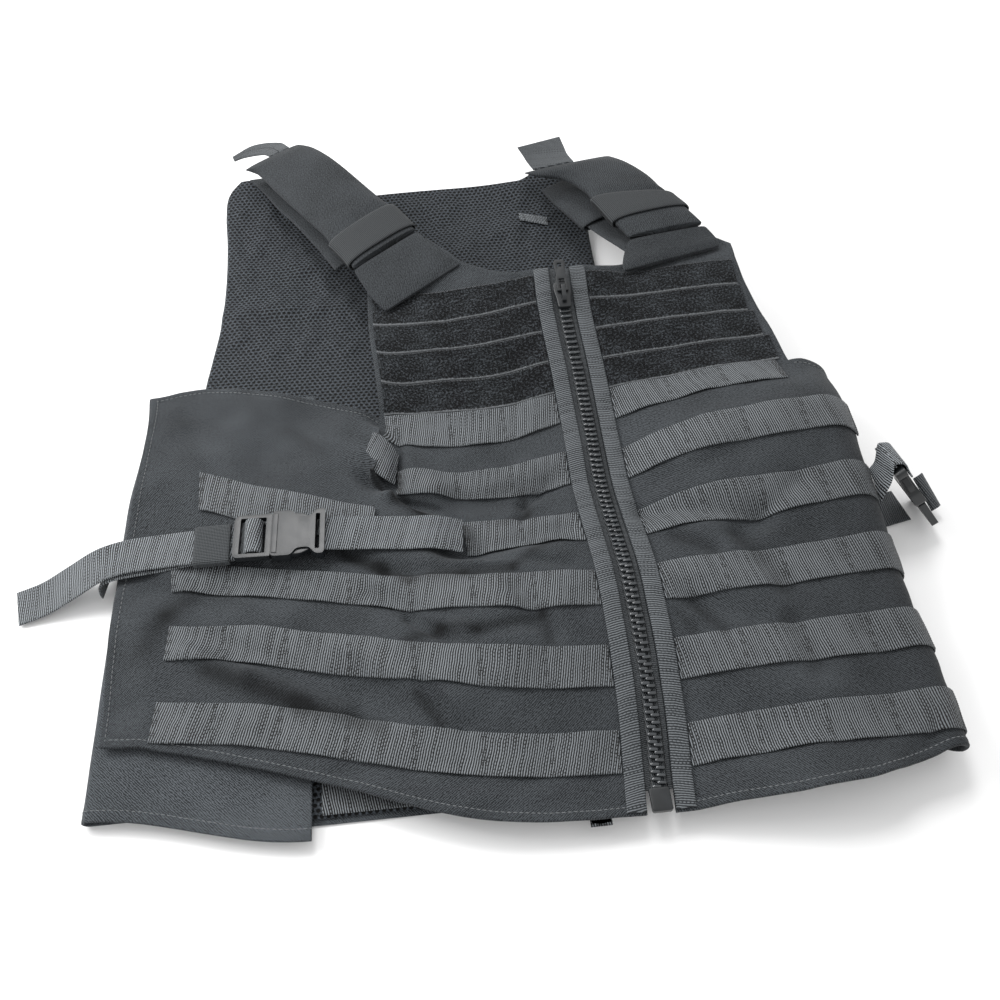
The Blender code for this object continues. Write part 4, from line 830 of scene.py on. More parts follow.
def webbing_rows(half, side):
    """The webbing rows; gives the lines of the tacks that pin them to the cloth."""
    tacks, lift = [], row_lift(half)
    for index, reach in enumerate(ROW_REACH[half]):
        low = WEBBING * (11 - 2 * index) + 0.3
        high = low + WEBBING - 0.6
        name = f"row_{side}_{index + 1}"
        runs = [(name, FIRST_TACK, reach, False)]
        if half == LEFT and index == 2:
            runs.append((name + "_wing", *WING_ROW, True))
        for run_name, start, end, on_wing in runs:
            drift = row_drift(half, index, on_wing)
            front_strip(half, run_name, low, high, start, end, ROW_THICK, lift, WEBBING_FINISH,
                        "webbing_" + run_name, drift=drift)
            inside = [place for place in TACKS if start + 1 <= place + 1.5 <= end - 1]
            for place in inside + [end - 2.5]:
                for aside in (0, 1.6):
                    v = np.linspace(low + 1.2, high - 1.2, 14)
                    at = np.full_like(v, max(place + aside, start + 1.5))
                    tacks.append(front_layer(half, at, v + drift(at), lift(at, v) + ROW_THICK))
    return tacks


def loop_bands(half, side):
    """The loop tape on the chest; gives the lines of the seams along and across it."""
    seams = []
    for index in range(4):
        low = WEBBING * (15 - index)
        end = float(chest_reach(half, low + WEBBING)) - 4
        front_strip(half, f"loop_{side}_{index + 1}", low + 0.3, low + WEBBING - 0.3, FIRST_TACK, end, BAND_THICK,
                    band_lift, LOOP_FINISH, f"loop_band_{side}_{index + 1}")
        for v0 in (low + 1.4, low + WEBBING - 1.4):
            u = np.linspace(FIRST_TACK + 1, end - 1, 90)
            at = v0 + 0.45 * ripple(u, 0 * u + v0, 19, 41 + index)
            seams.append(front_layer(half, u, at, band_lift(u, v0 + 0 * u) + BAND_THICK))
        if index in (0, 2):
            for place in TACKS[1:4] + [end - 1.5, FIRST_TACK + 1.5]:
                v = np.linspace(low + 1.5, low + WEBBING - 1.5, 14)
                seams.append(front_layer(half, place + 0 * v, v, band_lift(place + 0 * v, v) + BAND_THICK))
    return seams


def edge_stitches(half, side):
    """Dashed seams along the hem, the wing's side and top, and the armhole."""
    hem = np.linspace(14, 306, 120)
    wing_side = np.linspace(hem_along(half, 300) + SEAM_INSET, wing_top(305) - SEAM_INSET, 90)
    top = np.linspace(CHEST_EDGE + 3, 305, 60)
    arm = np.linspace(CHEST_JOIN + 3, 418 if half == LEFT else 410, 50)
    lines = [front_layer(half, hem, hem_along(half, hem) + SEAM_INSET, HEM_SEAM_RISE),
             front_layer(half, curve_at(*WING_REACH, wing_side) - SEAM_INSET, wing_side, SEAM_RISE),
             front_layer(half, top, wing_top(top) - SEAM_INSET, SEAM_RISE),
             front_layer(half, chest_reach(half, arm) - SEAM_INSET + 2, arm, SEAM_RISE)]
    stitches(f"edge_stitches_{side}", lines)


def trim_lift(across, along):
    return 0.35 + 0.5 * np.sin(math.pi * (across - TRIM_INNER) / (TRIM_OUTER - TRIM_INNER))


def zip_parts(half, side):
    front_strip(half, f"zip_binding_{side}", 1, TRIM_TOP, TRIM_INNER, TRIM_OUTER - GAP, 1.5, trim_lift,
                BINDING_FINISH, f"zip_trim_{side}", whole_along=True)
    front_strip(half, f"zip_cloth_{side}", BOX_TOP, TRIM_TOP, 0.4, TRIM_INNER - GAP, 0.9,
                lambda u, v: -1.2 + 0 * u, TAPE_FINISH, f"zip_tape_{side}", whole_along=True)


# Straps, pads and other soft pieces given by their two edges

def edge_rows(path, across=None):
    """Rows of webbing whose middle line follows the path; across turns its width."""
    path = np.asarray(path, float)
    ahead = np.gradient(path, axis=0)
    side = np.cross(ahead, (0, 0, 1)) if across is None else np.tile(across, (len(path), 1))
    ahead /= np.linalg.norm(ahead, axis=1, keepdims=True)
    side = side - ahead * (side * ahead).sum(1, keepdims=True)
    side *= WEBBING / 2 / np.linalg.norm(side, axis=1, keepdims=True)
    return [(*(p - s), *(p + s), STRAP_THICK) for p, s in zip(path, side)]


def strap_frames(rows, at=None, cell=1.8, rounded=True):
    """Distance along, middle, half width, upward direction and thickness at fine steps through the rows."""
    table = np.array(rows, float)
    middle = (table[:, :3] + table[:, 3:6]) / 2
    knots = np.concatenate([[0], np.cumsum(np.linalg.norm(np.diff(middle, axis=0), axis=1))])
    if at is None:
        u = steps(0, knots[-1], cell) if rounded else np.linspace(0, knots[-1], int(knots[-1] / cell) + 2)
    else:
        u = np.interp(at, np.arange(len(knots)), knots)
    values = np.stack([curve_at(knots, table[:, k], u) for k in range(7)], 1)
    left, right = values[:, :3], values[:, 3:6]
    middle, half = (left + right) / 2, (right - left) / 2
    ahead = np.gradient(middle, u, axis=0)
    up = np.cross(half, ahead)
    up /= np.linalg.norm(up, axis=1, keepdims=True)
    if up[:, 2].sum() < 0:
        up = -up
    return u, middle, half, up, values[:, 6]


def ribbon(name, rows, material, stands_for=None, cell=1.8, lift=None):
    """Strap between two edge lines, with rounded edges; lift bends it by place along and across."""
    u, middle, half, up, thick = strap_frames(rows, cell=cell)
    width = 2 * np.linalg.norm(half, axis=1)
    share = steps(0, width.mean(), 2.2) / width.mean()
    along, part = np.meshgrid(u, share, indexing="ij")
    across = part * width[:, None]
    half_thick = thick[:, None] / 2
    drop = rolled(edge_distance(along, across, 0, 0, u[-1], width[:, None]), half_thick)
    middle_line = middle[:, None, :] + half[:, None, :] * (2 * part - 1)[..., None]
    bend = 0 * part if lift is None else lift(along, across)
    outer = middle_line + up[:, None, :] * (half_thick - drop + bend)[..., None]
    inner = middle_line - up[:, None, :] * (half_thick - drop - bend)[..., None]
    obj = closed_sheet(name, outer, inner, np.stack([along, across], -1), material)
    show(obj, stands_for=stands_for)


def oval_rings(rows, sides=48, power=2.6, grow=0, at=None, cell=2.6):
    """Oval sections at fine steps, with each point's place: across the top and along."""
    u, middle, half, up, thick = strap_frames(rows, at=at, cell=cell, rounded=False)
    angle = math.tau * (np.arange(sides) + 0.5) / sides
    c, s = np.cos(angle), np.sin(angle)
    length = np.linalg.norm(half, axis=1)
    side = half / length[:, None]
    grow = np.broadcast_to(grow, u.shape)
    wide = np.sign(c) * np.abs(c) ** (2 / power) * (length + grow)[:, None]
    tall = np.sign(s) * np.abs(s) ** (2 / power) * (thick / 2 + grow)[:, None]
    rings = middle[:, None, :] + side[:, None, :] * wide[..., None] + up[:, None, :] * tall[..., None]
    places = np.stack([wide + length[:, None], np.repeat(u[:, None], sides, 1)], -1)
    return rings, places


def blown_up(obj, swell, held):
    """Lets cloth simulation fill a cover, and keeps how far each point may move."""
    start = np.array([v.co[:] for v in obj.data.vertices])
    work = obj.modifiers.new("fill", "CLOTH")
    settings = work.settings
    settings.use_pressure = True
    settings.uniform_pressure_force = 4
    settings.effector_weights.gravity = 0
    settings.quality = 6
    settings.tension_stiffness = settings.compression_stiffness = 12
    settings.bending_stiffness = 0.6
    work.collision_settings.use_collision = False
    work.point_cache.frame_start, work.point_cache.frame_end = 1, FILL_STEPS
    scene = bpy.context.scene
    for step in range(1, FILL_STEPS + 1):
        scene.frame_set(step)
        bpy.context.view_layer.update()
    evaluated = obj.evaluated_get(bpy.context.evaluated_depsgraph_get())
    move = np.array([v.co[:] for v in evaluated.data.vertices]) - start
    obj.modifiers.clear()
    scene.frame_set(1)
    size = np.linalg.norm(move, axis=1, keepdims=True)
    cap = swell * MM
    if held is not None:
        uv = np.empty(len(obj.data.loops) * 2)
        obj.data.uv_layers[0].data.foreach_get("uv", uv)
        corner = np.empty(len(obj.data.loops), int)
        obj.data.loops.foreach_get("vertex_index", corner)
        along = np.zeros(len(start))
        along[corner] = uv.reshape(-1, 2)[:, 1] * UV_MM
        cap = (cap * held(along))[:, None]
    move *= cap * np.tanh(size / np.maximum(cap, 1e-9)) / np.maximum(size, 1e-12)
    obj.data.vertices.foreach_set("co", (start + move).ravel())
    obj.data.update()


def full_pad(name, rows, stands_for, power=2.6, swell=1.6, held=None, inset=0.9):
    """Padded piece filled a little in its cover; held gives the share of the swelling at a place along."""
    rings, places = oval_rings(rows, power=power, grow=-inset)

    def tips(ring, shares):
        middle = ring.mean(1, keepdims=True)
        return [middle + (ring - middle) * k for k in shares]

    places = np.concatenate([places[:1]] * 2 + [places] + [places[-1:]] * 2)
    rings = np.concatenate(tips(rings[:1], (0.55, 0.85)) + [rings] + tips(rings[-1:], (0.85, 0.55)))
    obj = tube_object(name, rings, places, PAD_FINISH)
    blown_up(obj, swell, held)
    smooth = obj.modifiers.new("smooth", "SUBSURF")
    smooth.levels = smooth.render_levels = 1
    show(obj, stands_for=stands_for)


def tube_band(name, rows, first, last, outer_grow, inner_grow, material, stands_for, power=2.6, cell=0.08):
    """Band right round a pad or strap, open at both ends."""
    count = max(6, int((last - first) / cell))
    at = np.linspace(first, last, count)
    edge = np.minimum(np.arange(count), np.arange(count)[::-1])
    outer_size = outer_grow - (outer_grow - inner_grow) * 0.45 * np.exp(-edge / 0.7)
    outer, places = oval_rings(rows, grow=outer_size, at=at, power=power, sides=72)
    inner, inner_places = oval_rings(rows, grow=inner_grow, at=at, power=power, sides=72)
    rings = np.concatenate([outer, inner[::-1]])
    obj = tube_object(name, rings, np.concatenate([places, inner_places[::-1]]), material, loop=True)
    show(obj, stands_for=stands_for)


# Moulded pieces cut to an outline

def filleted(outline, radii, parts=5):
    """Outline with a round at each corner; one radius for all, or one each."""
    points = [Vector(p) for p in outline]
    radii = [radii] * len(points) if not hasattr(radii, "__len__") else radii
    result = []
    for i, corner in enumerate(points):
        before, after = points[i - 1] - corner, points[(i + 1) % len(points)] - corner
        reach = min(radii[i], before.length * 0.45, after.length * 0.45)
        start, end = corner + before.normalized() * reach, corner + after.normalized() * reach
        for k in range(parts + 1):
            t = k / parts
            result.append(start * (1 - t) ** 2 + corner * 2 * t * (1 - t) + end * t ** 2)
    return result


def box_outline(x0, y0, x1, y1):
    return [(x0, y0), (x1, y0), (x1, y1), (x0, y1)]


def aimed(centre, along, across):
    """Matrix of a place whose X points along, and whose Y leans as near to across as it can."""
    along = Vector(along).normalized()
    across = (Vector(across) - along * along.dot(across)).normalized()
    matrix = Matrix((along, across, along.cross(across))).transposed().to_4x4()
    matrix.translation = centre
    return matrix


def moulded(name, outlines, thick, matrix, material, bevel, body="vest", stands_for=None):
    """Moulded solid: outlines in millimetres in its own plane, the first with the others as holes."""
    curve = bpy.data.curves.new(name, "CURVE")
    curve.dimensions = "2D"
    curve.fill_mode = "BOTH"
    curve.extrude = thick / 2 * MM
    for points in outlines:
        line = curve.splines.new("POLY")
        line.points.add(len(points) - 1)
        for target, point in zip(line.points, points):
            target.co = (point[0] * MM, point[1] * MM, 0, 1)
        line.use_cyclic_u = True
    mesh = plain_mesh(linked(name + "_outline", curve))
    form = bmesh.new()
    form.from_mesh(mesh)
    bmesh.ops.remove_doubles(form, verts=form.verts, dist=0.00001)
    flat = [e for e in form.edges if len(e.link_faces) == 2 and e.calc_face_angle() < 0.001]
    bmesh.ops.dissolve_edges(form, edges=flat, use_verts=False)
    rim = [e for e in form.edges if len(e.link_faces) == 2 and e.calc_face_angle() > 1.2]
    bmesh.ops.bevel(form, geom=rim, offset=bevel * MM, segments=3, affect="EDGES", profile=0.6,
                    clamp_overlap=True)
    bmesh.ops.triangulate(form, faces=form.faces)
    bmesh.ops.recalc_face_normals(form, faces=form.faces)
    to_part = Matrix.Diagonal((MM, MM, MM, 1)) @ Matrix.Translation(-Vector(SHIFT)) @ matrix
    to_part = to_part @ Matrix.Diagonal((1 / MM, 1 / MM, 1 / MM, 1))
    bmesh.ops.transform(form, matrix=to_part, verts=form.verts)
    form.to_mesh(mesh)
    form.free()
    mesh.shade_smooth()
    mesh.set_sharp_from_angle(angle=math.radians(35))
    mesh.materials.clear()
    mesh.materials.append(material)
    show(linked(name, mesh), body=body, stands_for=stands_for)


def placed(matrix, points):
    return np.array([matrix @ Vector(p) for p in points])


# The pieces, from the front to the straps

for half, side in ((LEFT, "left"), (RIGHT, "right")):
    front_cloth(half, side)
    tacks, seams = webbing_rows(half, side), loop_bands(half, side)
    stitches(f"tack_stitches_{side}", tacks, 1.5, 1.3, 0.29, DARK_THREAD_FINISH)
    stitches(f"band_stitches_{side}", seams, 2.2, 1.2, 0.18, SEAM_FINISH)
    edge_stitches(half, side)
    zip_parts(half, side)


# Zip

def zip_teeth():
    lines = []
    for half, shift in ((LEFT, 0), (RIGHT, TEETH_PITCH / 2)):
        v = np.arange(BOX_TOP + 0.6 + shift, TEETH_END, 1)
        lines.append(front_points(RIGHT, 0 * v, v) + np.array((1.5 * half, 0, 1.5)))
    teeth = grown(curve_object("teeth_run", lines), TEETH_TREE, TEETH_FINISH, "zip_teeth_fine",
                  Pitch=TEETH_PITCH, Reach=5.2, Width=1.9, Height=2.6)
    show(teeth, stands_for="zip_teeth")
    v = np.arange(BOX_TOP, TEETH_END, 2)
    middle = front_points(RIGHT, 0 * v, v) + np.array((0, 0, 0.6))
    side = np.array((3.9, 0, 0))
    ribbon("teeth_cord", [(*(p - side), *(p + side), 1.2) for p in middle], TAPE_FINISH)


def zip_frame(along, height):
    """Matrix at a height over the zip, with X across, Y along and Z out of the cloth."""
    before, here, after = (Vector(p) for p in front_points(RIGHT, 0, (along - 6, along, along + 6)))
    ahead = after - before
    out = Vector((1, 0, 0)).cross(ahead).normalized()
    return aimed(here + out * height, ahead.cross(out), ahead)


def turned(x, y, z):
    """Turn in degrees about X, then Y, then Z."""
    result = Matrix.Identity(4)
    for angle, axis in ((x, "X"), (y, "Y"), (z, "Z")):
        result = Matrix.Rotation(math.radians(angle), 4, axis) @ result
    return result


def zip_slider():
    middle = zip_frame(SLIDER_ALONG, SLIDER_HEIGHT)
    outline = [(-4.6, -11), (4.6, -11), (5.2, -4), (6.4, 3), (6.4, 8.5), (3.6, 11),
               (-3.6, 11), (-6.4, 8.5), (-6.4, 3), (-5.2, -4)]
    moulded("slider_plate", [filleted(outline, 1.2)], 3.6, middle, SLIDER_FINISH, 0.9,
            stands_for="zip_slider")
    crown = [(-7.5, 1), (7.5, 1), (7.5, 4.4), (5, 6.4), (-5, 6.4), (-7.5, 4.4)]
    hole = [(-4.5, 1.2), (4.5, 1.2), (4.5, 3.8), (3.6, 4.6), (-3.6, 4.6), (-4.5, 3.8)]
    moulded("slider_crown", [filleted(crown, 1.2), filleted(hole, 0.6)], 3,
            middle @ turned(90, 0, 90), SLIDER_FINISH, 0.45)
    hinge = middle @ Matrix.Translation((0, 2.4, 3.2))
    outline = [(-4.2, -1), (4.2, -1), (4.2, 9), (3.4, 13), (4.4, 23), (3.2, 25), (-3.2, 25),
               (-4.4, 23), (-3.4, 13), (-4.2, 9)]
    moulded("slider_tab", [filleted(outline, 0.8), filleted(box_outline(-2.2, 0.9, 2.2, 9), 0.8),
                           filleted(box_outline(-1.7, 19, 1.7, 22.4), 0.8)], 1.6, hinge, SLIDER_FINISH, 0.4,
            body="pull_tab", stands_for="pull_tab")
    box = Matrix.Translation(zip_frame(BOX_TOP / 2, 1).translation)
    moulded("zip_box", [filleted(box_outline(-5.75, -6.6, 5.75, 6.6), 1.6)], 4.2, box, SLIDER_FINISH, 1,
            stands_for="zip_end_box")


zip_teeth()
zip_slider()


# Back

def back_lines(inset, low_y, cell):
    near = np.array((0, 0.004, 0.012, 0.022))
    f = np.concatenate([-1 + near, np.linspace(-0.96, 0.96, int(320 / cell)), (1 - near)[::-1]])
    v = np.concatenate([near * 0.5, np.linspace(0.02, 0.98, int(550 / cell)), (1 - near * 0.5)[::-1]])
    share, line = np.meshgrid(f, v)
    y_side = low_y + (BACK_TOP_Y - low_y) * line
    x = BACK_MIDDLE_X + (column(BACK_SECTIONS, 1, y_side) - inset) * share
    away = np.maximum(BACK_MIDDLE_X - x, x - BACK_MIDDLE_X - 46)
    top = NAPE_Y + 22 * smooth_step(NAPE_HALF - 26, NAPE_HALF + 12, away) - inset
    low = low_y + 13 * (1 - smooth_step(-200, -140, x))
    y = low + (top - low) * line
    edge = np.minimum((1 - np.abs(share)) * 160, np.minimum(line, 1 - line) * 560)
    return x, y, edge


def lying_sheet(name, x, y, edge, base, thick, material, stands_for, swell=0):
    """Sheet that lies flat on a base, with rounded edges; swell lifts its upper face."""
    drop = rolled(edge, thick / 2)
    outer = np.stack([x, y, base + thick - drop + swell], -1)
    inner = np.stack([x, y, base + drop], -1)
    obj = closed_sheet(name, outer, inner, np.stack([x, y], -1), material)
    return show(obj, stands_for=stands_for)


def back_pieces():
    x, y, edge = back_lines(0, BACK_HEM_Y, 3)
    obj = lying_sheet("back_cloth", x, y, edge, back_lift(x, y), SHELL, BACK_FINISH, "back_shell")
    x, y, edge = back_lines(1.5, BACK_HEM_Y + 3, 2.4)
    waves = 1.5 * ripple(x, y, 40, 31) + 0.8 * ripple(x, y, 15, 32)
    swell = smooth_step(44, 74, y) * np.maximum(waves, -0.9) * smooth_step(0, 12, edge)
    obj = lying_sheet("mesh_back", x, y, edge, back_lift(x, y) + SHELL + GAP, MESH, MESH_FINISH,
                      "mesh_lining", swell)


def wing_left():
    """The left wing of the back, turned up round the side and folded over itself."""
    radius = (WING_LEAF_UP + SHELL) / 2
    seam_x = BACK_MIDDLE_X - 166
    flat = np.linspace(seam_x, -226, 10)
    turn = np.linspace(0, math.pi, 16)
    leaf = steps(-236, WING_END_X, 2.6, fine_low=False)
    x = np.concatenate([flat, WING_FOLD_X - radius * np.sin(turn), leaf])
    z = np.concatenate([0 * flat, radius * (1 - np.cos(turn)), 0 * leaf + WING_LEAF_UP + SHELL])
    angle = np.concatenate([0 * flat, turn, 0 * leaf + math.pi])
    part = np.concatenate([[0, 0.001, 0.003, 0.006], np.linspace(0.012, 0.988, 110), [0.994, 0.997, 0.999, 1]])
    leaf_part = np.where(angle > 3, smooth_step(-243, WING_END_X, x), 0)
    hem = -281 - 23 * leaf_part
    y = hem[None, :] + (WING_TOP_Y - hem)[None, :] * part[:, None]
    run = np.concatenate([[0], np.cumsum(np.hypot(np.diff(x), np.diff(z)))])
    on_leaf = np.clip(angle / math.pi, 0, 1)[None, :]
    waves = 0.25 * ripple(run[None, :] + 0 * y, y, 40, 51) * on_leaf
    edge = np.minimum(np.minimum(part, 1 - part)[:, None] * 320, (run[-1] - run)[None, :])
    drop = rolled(edge, SHELL / 2)
    hemmed = 0.25 * (1 - smooth_step(8, 9.5, y - hem[None, :])) * on_leaf
    out = np.stack([-np.sin(angle), 0 * angle, -np.cos(angle)], -1)[None]
    lean = WING_LEAN * smooth_step(-80, WING_TOP_Y, y) * (1 - smooth_step(-236, -226, x))[None, :]
    base = np.stack([x[None, :] + lean, y, z[None, :] + 0 * y], -1)
    outer = base + out * (waves + hemmed - drop)[..., None]
    inner = base + out * (waves - SHELL + drop)[..., None]
    places = np.stack([run[None, :] + 0 * y, y], -1)
    obj = closed_sheet("wing_cloth_left", outer, inner, places, BACK_FINISH)
    show(obj, stands_for="back_wing_left")
    seam = base + out * (waves + 0.15)[..., None]
    lines = [np.array([seam[np.argmin(np.abs(y[:, i] - hem[i] - 7)), i] for i in range(12, len(x) - 1)])]
    stitches("wing_stitches_left", lines)


def wing_right():
    top = WING_TOP_Y - 4
    x, y = np.meshgrid(steps(UNDER_WING_X, UNDER_WING_END_X, 3), steps(UNDER_WING_Y, top, 3))
    edge = edge_distance(x, y, UNDER_WING_X, UNDER_WING_Y, UNDER_WING_END_X, top)
    obj = lying_sheet("wing_cloth_right", x, y, edge, UNDER_Z + CLOTH + GAP, SHELL, BACK_FINISH,
                      "back_wing_right")


def mesh_top(x, y):
    return SHELL + GAP + MESH + back_lift(x, y)


def back_trims():
    for name, places, width, lift, thick, material, node_name in (
            ("hem_webbing", [(x, -290) for x in np.linspace(-112, 70, 8)], WEBBING, 0.95, STRAP_THICK,
             WEBBING_FINISH, "back_hem_webbing"),
            ("neck_loop", [(56 + 6 * i, 203 - 2 * i) for i in range(5)], 9, 2, 1.6, STRAP_FINISH,
             "hang_loop")):
        rows = [(x, y, mesh_top(x, y) + lift, x, y + width, mesh_top(x, y + width) + lift, thick)
                for x, y in places]
        ribbon(name, rows, material, node_name)
    rows = [(x, -313.2, 11.15, x, -305.2, 11.15, STRAP_THICK) for x in (33.7, 37.7, 41.7, 45.7)]
    ribbon("front_hem_tab", rows, WEBBING_FINISH, "hem_tab")


back_pieces()
wing_left()
wing_right()
back_trims()


# Shoulders

# Rows of a pad or strap: left edge, right edge, thickness
PAD_LEFT = (
    (-176, 266, 33, -128, 284, 43, 4), (-166, 256, 34, -113, 272, 47, 9),
    (-147, 224, 35, -93, 246, 50.5, 12), (-126, 191, 36, -72, 214, 51, 12.5),
    (-105, 158, 37, -53, 184, 51, 12), (-92, 136, 38, -40, 163, 50, 11.5),
    (-84, 119, 39.5, -32, 148, 50, 10),
)
PAD_RIGHT = (
    (61, 227, 40, 134, 223, 55, 4), (70, 218, 43, 146, 208, 58, 9), (91, 202, 47, 159, 186, 60, 12),
    (103, 182, 50.5, 167, 166, 61, 12), (112, 160, 53, 173, 151, 61.5, 12),
    (121, 132, 55.5, 180, 137, 61.5, 12), (129, 112, 57, 189, 118, 60.5, 10),
)
FRONT_FLAP_LEFT = (
    (-83.7, 118, 39.1, -31.3, 146.4, 50.1, 4), (-76, 99, 37.3, -20, 128, 49.7, 4.5),
    (-69, 85, 35.9, -9, 115, 49.4, 4), (-61, 74.5, 34.3, -1, 106, 48.7, 3),
)
FRONT_FLAP_RIGHT = (
    (128.2, 111.3, 55.2, 189.9, 117.4, 59.3, 5), (123, 99, 52.8, 195, 109, 57, 5.5),
    (120, 88, 51.6, 197.5, 103, 55.4, 7), (120, 82, 50.6, 197, 98, 54, 5),
)
STRAP_LEFT = (
    (-174, 272, 18, -132, 270, 20.4, 2.4), (-162, 252, 19.5, -117, 260, 27, 2.4),
    (-148, 225, 21.5, -102, 236, 31, 2.4), (-133, 200, 23.5, -87, 216, 35, 2.4),
    (-114, 165, 25.4, -70, 186, 36.6, 2.4), (-99, 134, 27.2, -53, 160, 37.2, 2.4),
)
TAIL_LEFT = (
    (-153, 275.7, 37.5, -135.6, 282.3, 41, 1.6), (-160, 284, 34.5, -145, 297, 36.5, 1.6),
    (-178, 291, 28, -170, 306, 29.5, 1.6), (-187, 291, 25, -189, 297, 25.5, 1.6),
)
TAIL_RIGHT = (
    (70, 227.2, 41.9, 104, 225.4, 48.8, 1.6), (66, 240, 41.5, 101, 241, 45.8, 1.6),
    (64, 247, 42, 100, 252, 45.2, 1.6), (60, 257, 44, 98, 266, 46, 1.6),
)
SLEEVE_RIGHT = (
    (78, 226, 21, 124, 234, 32, 5), (84, 204, 25, 132, 212, 38, 7), (93, 180, 29, 141, 190, 41, 8),
    (102, 156, 33, 148, 168, 44, 9),
)
STRAP_RIGHT = (
    (98, 180, 30.3, 136, 188, 39.7, 1.6), (105, 160, 33.5, 142, 170, 42.6, 1.6),
    (113, 138, 40, 150, 148, 45.5, 1.6), (120, 119, 46.4, 160, 128, 49.2, 1.6),
    (126, 106, 49.4, 168, 114, 51.9, 1.6),
)


def tail_waves(along, across):
    return 0.3 * ripple(along, across, 26, 61)


def shoulder_pieces():
    for side, rows, first, last in (("left", PAD_LEFT, 4.25, 5.75), ("right", PAD_RIGHT, 3.7, 5)):
        knots = strap_frames(rows, at=[first - 0.15, last + 0.15])[0]

        def held(along, low=knots[0], high=knots[1]):
            outside = np.maximum(low - along, along - high)
            return 0.25 + 0.75 * smooth_step(-2, 9, outside)

        full_pad(f"pad_{side}", rows, f"shoulder_pad_{side}", held=held)
        tube_band(f"band_{side}", rows, first, last, 1.5, 0.5, ELASTIC_FINISH, f"pad_band_{side}")
    for side, rows, power, swell, fill in (("left", FRONT_FLAP_LEFT, 3.4, 0.5, 0.2),
                                           ("right", FRONT_FLAP_RIGHT, 3, 0.6, 0.3)):
        full_pad(f"flap_{side}", rows, f"shoulder_front_{side}", power, swell, inset=0.3)
    for side, rows in (("left", STRAP_LEFT), ("right", STRAP_RIGHT)):
        ribbon(f"carrier_{side}", rows, PAD_FINISH, f"shoulder_strap_{side}", lift=tail_waves)
    for side, rows in (("left", TAIL_LEFT), ("right", TAIL_RIGHT)):
        ribbon(f"tail_{side}", rows, TAIL_FINISH, f"strap_tail_{side}")
    tube_band("sleeve_right", SLEEVE_RIGHT, 0, 3, 0, -1.2, PAD_FINISH, "shoulder_sleeve_right",
              power=3, cell=0.04)


shoulder_pieces()


# Side straps and buckles

BUCKLE_HALF, BODY_LENGTH, LADDER_LENGTH = 17.2, 34, 24
SLOT_HALF = 13.5


def buckle(side, matrix):
    """Side release buckle: the body from its joint on along X, the ladder part before it."""
    half, length = BUCKLE_HALF, BODY_LENGTH
    upper = [(0, half - 1.5), (2, half), (13, half), (16, half - 5), (24, half - 5.5),
             (28.5, half), (length - 1, half), (length, half - 2)]
    lower = [(x, -y) for x, y in reversed(upper)]
    slot = box_outline(length - 6, -SLOT_HALF, length - 3.2, SLOT_HALF)
    moulded(f"release_body_{side}", [filleted(upper + lower, 2.4), filleted(slot, 0.8)], 7, matrix,
            PLASTIC_FINISH, 1.5, stands_for=f"buckle_body_{side}")
    ridge = [(0.6, -half + 2.2), (4.2, -half + 1.8), (4.2, half - 1.8), (0.6, half - 2.2)]
    moulded(f"release_collar_{side}", [filleted(ridge, 1)], 7.9, matrix, PLASTIC_FINISH, 0.7)
    for name, turn in (("a", 1), ("b", -1)):
        prong = [(12, turn * 10), (12, turn * (half - 1.2)), (19, turn * (half - 1.6)),
                 (24.5, turn * (half - 4.4)), (25.5, turn * 10)]
        moulded(f"release_prong_{side}_{name}", [filleted(prong, 1.6)], 4.2, matrix, PLASTIC_FINISH, 1)
    left = -LADDER_LENGTH
    frame_line = [(left + 2, -half + 1), (-0.3, -half + 1), (-0.3, half - 1), (left + 2, half - 1),
                  (left, half - 4), (left, -half + 4)]
    slots = [filleted(box_outline(x, -SLOT_HALF, x + 6.4, SLOT_HALF), 0.9) for x in (left + 4, left + 14)]
    moulded(f"ladder_{side}", [filleted(frame_line, (3.5, 0.8, 0.8, 3.5, 3, 3))] + slots, 4.6, matrix,
            PLASTIC_FINISH, 1.1, stands_for=f"buckle_ladder_{side}")


BUCKLE_LEFT = Matrix.Translation((-141, -114.5, 25.6)) @ turned(0, 0, -1.5)
# The right buckle hangs over the side: the end of its ladder part, and its length and width
BUCKLE_RIGHT_END = (293.5, -127.5, 5.4)
BUCKLE_RIGHT_ALONG, BUCKLE_RIGHT_ACROSS = Vector((-0.6, 0.26, 0.75)).normalized(), (-0.28, 0.9, 0.1)
BUCKLE_RIGHT = aimed(Vector(BUCKLE_RIGHT_END) + LADDER_LENGTH * BUCKLE_RIGHT_ALONG, BUCKLE_RIGHT_ALONG,
                     BUCKLE_RIGHT_ACROSS)
# Middle line of the webbing in a buckle's ladder, in the buckle's own plane
LADDER_LOOP = ((-26, -4.8), (-20, -4.6), (-12, -4.3), (-7.4, -2.8), (-6.6, 0), (-8.4, 2.7), (-11.8, 3.3),
               (-15.2, 2.7), (-17, 0), (-18.8, -2.4), (-26, -3.1))


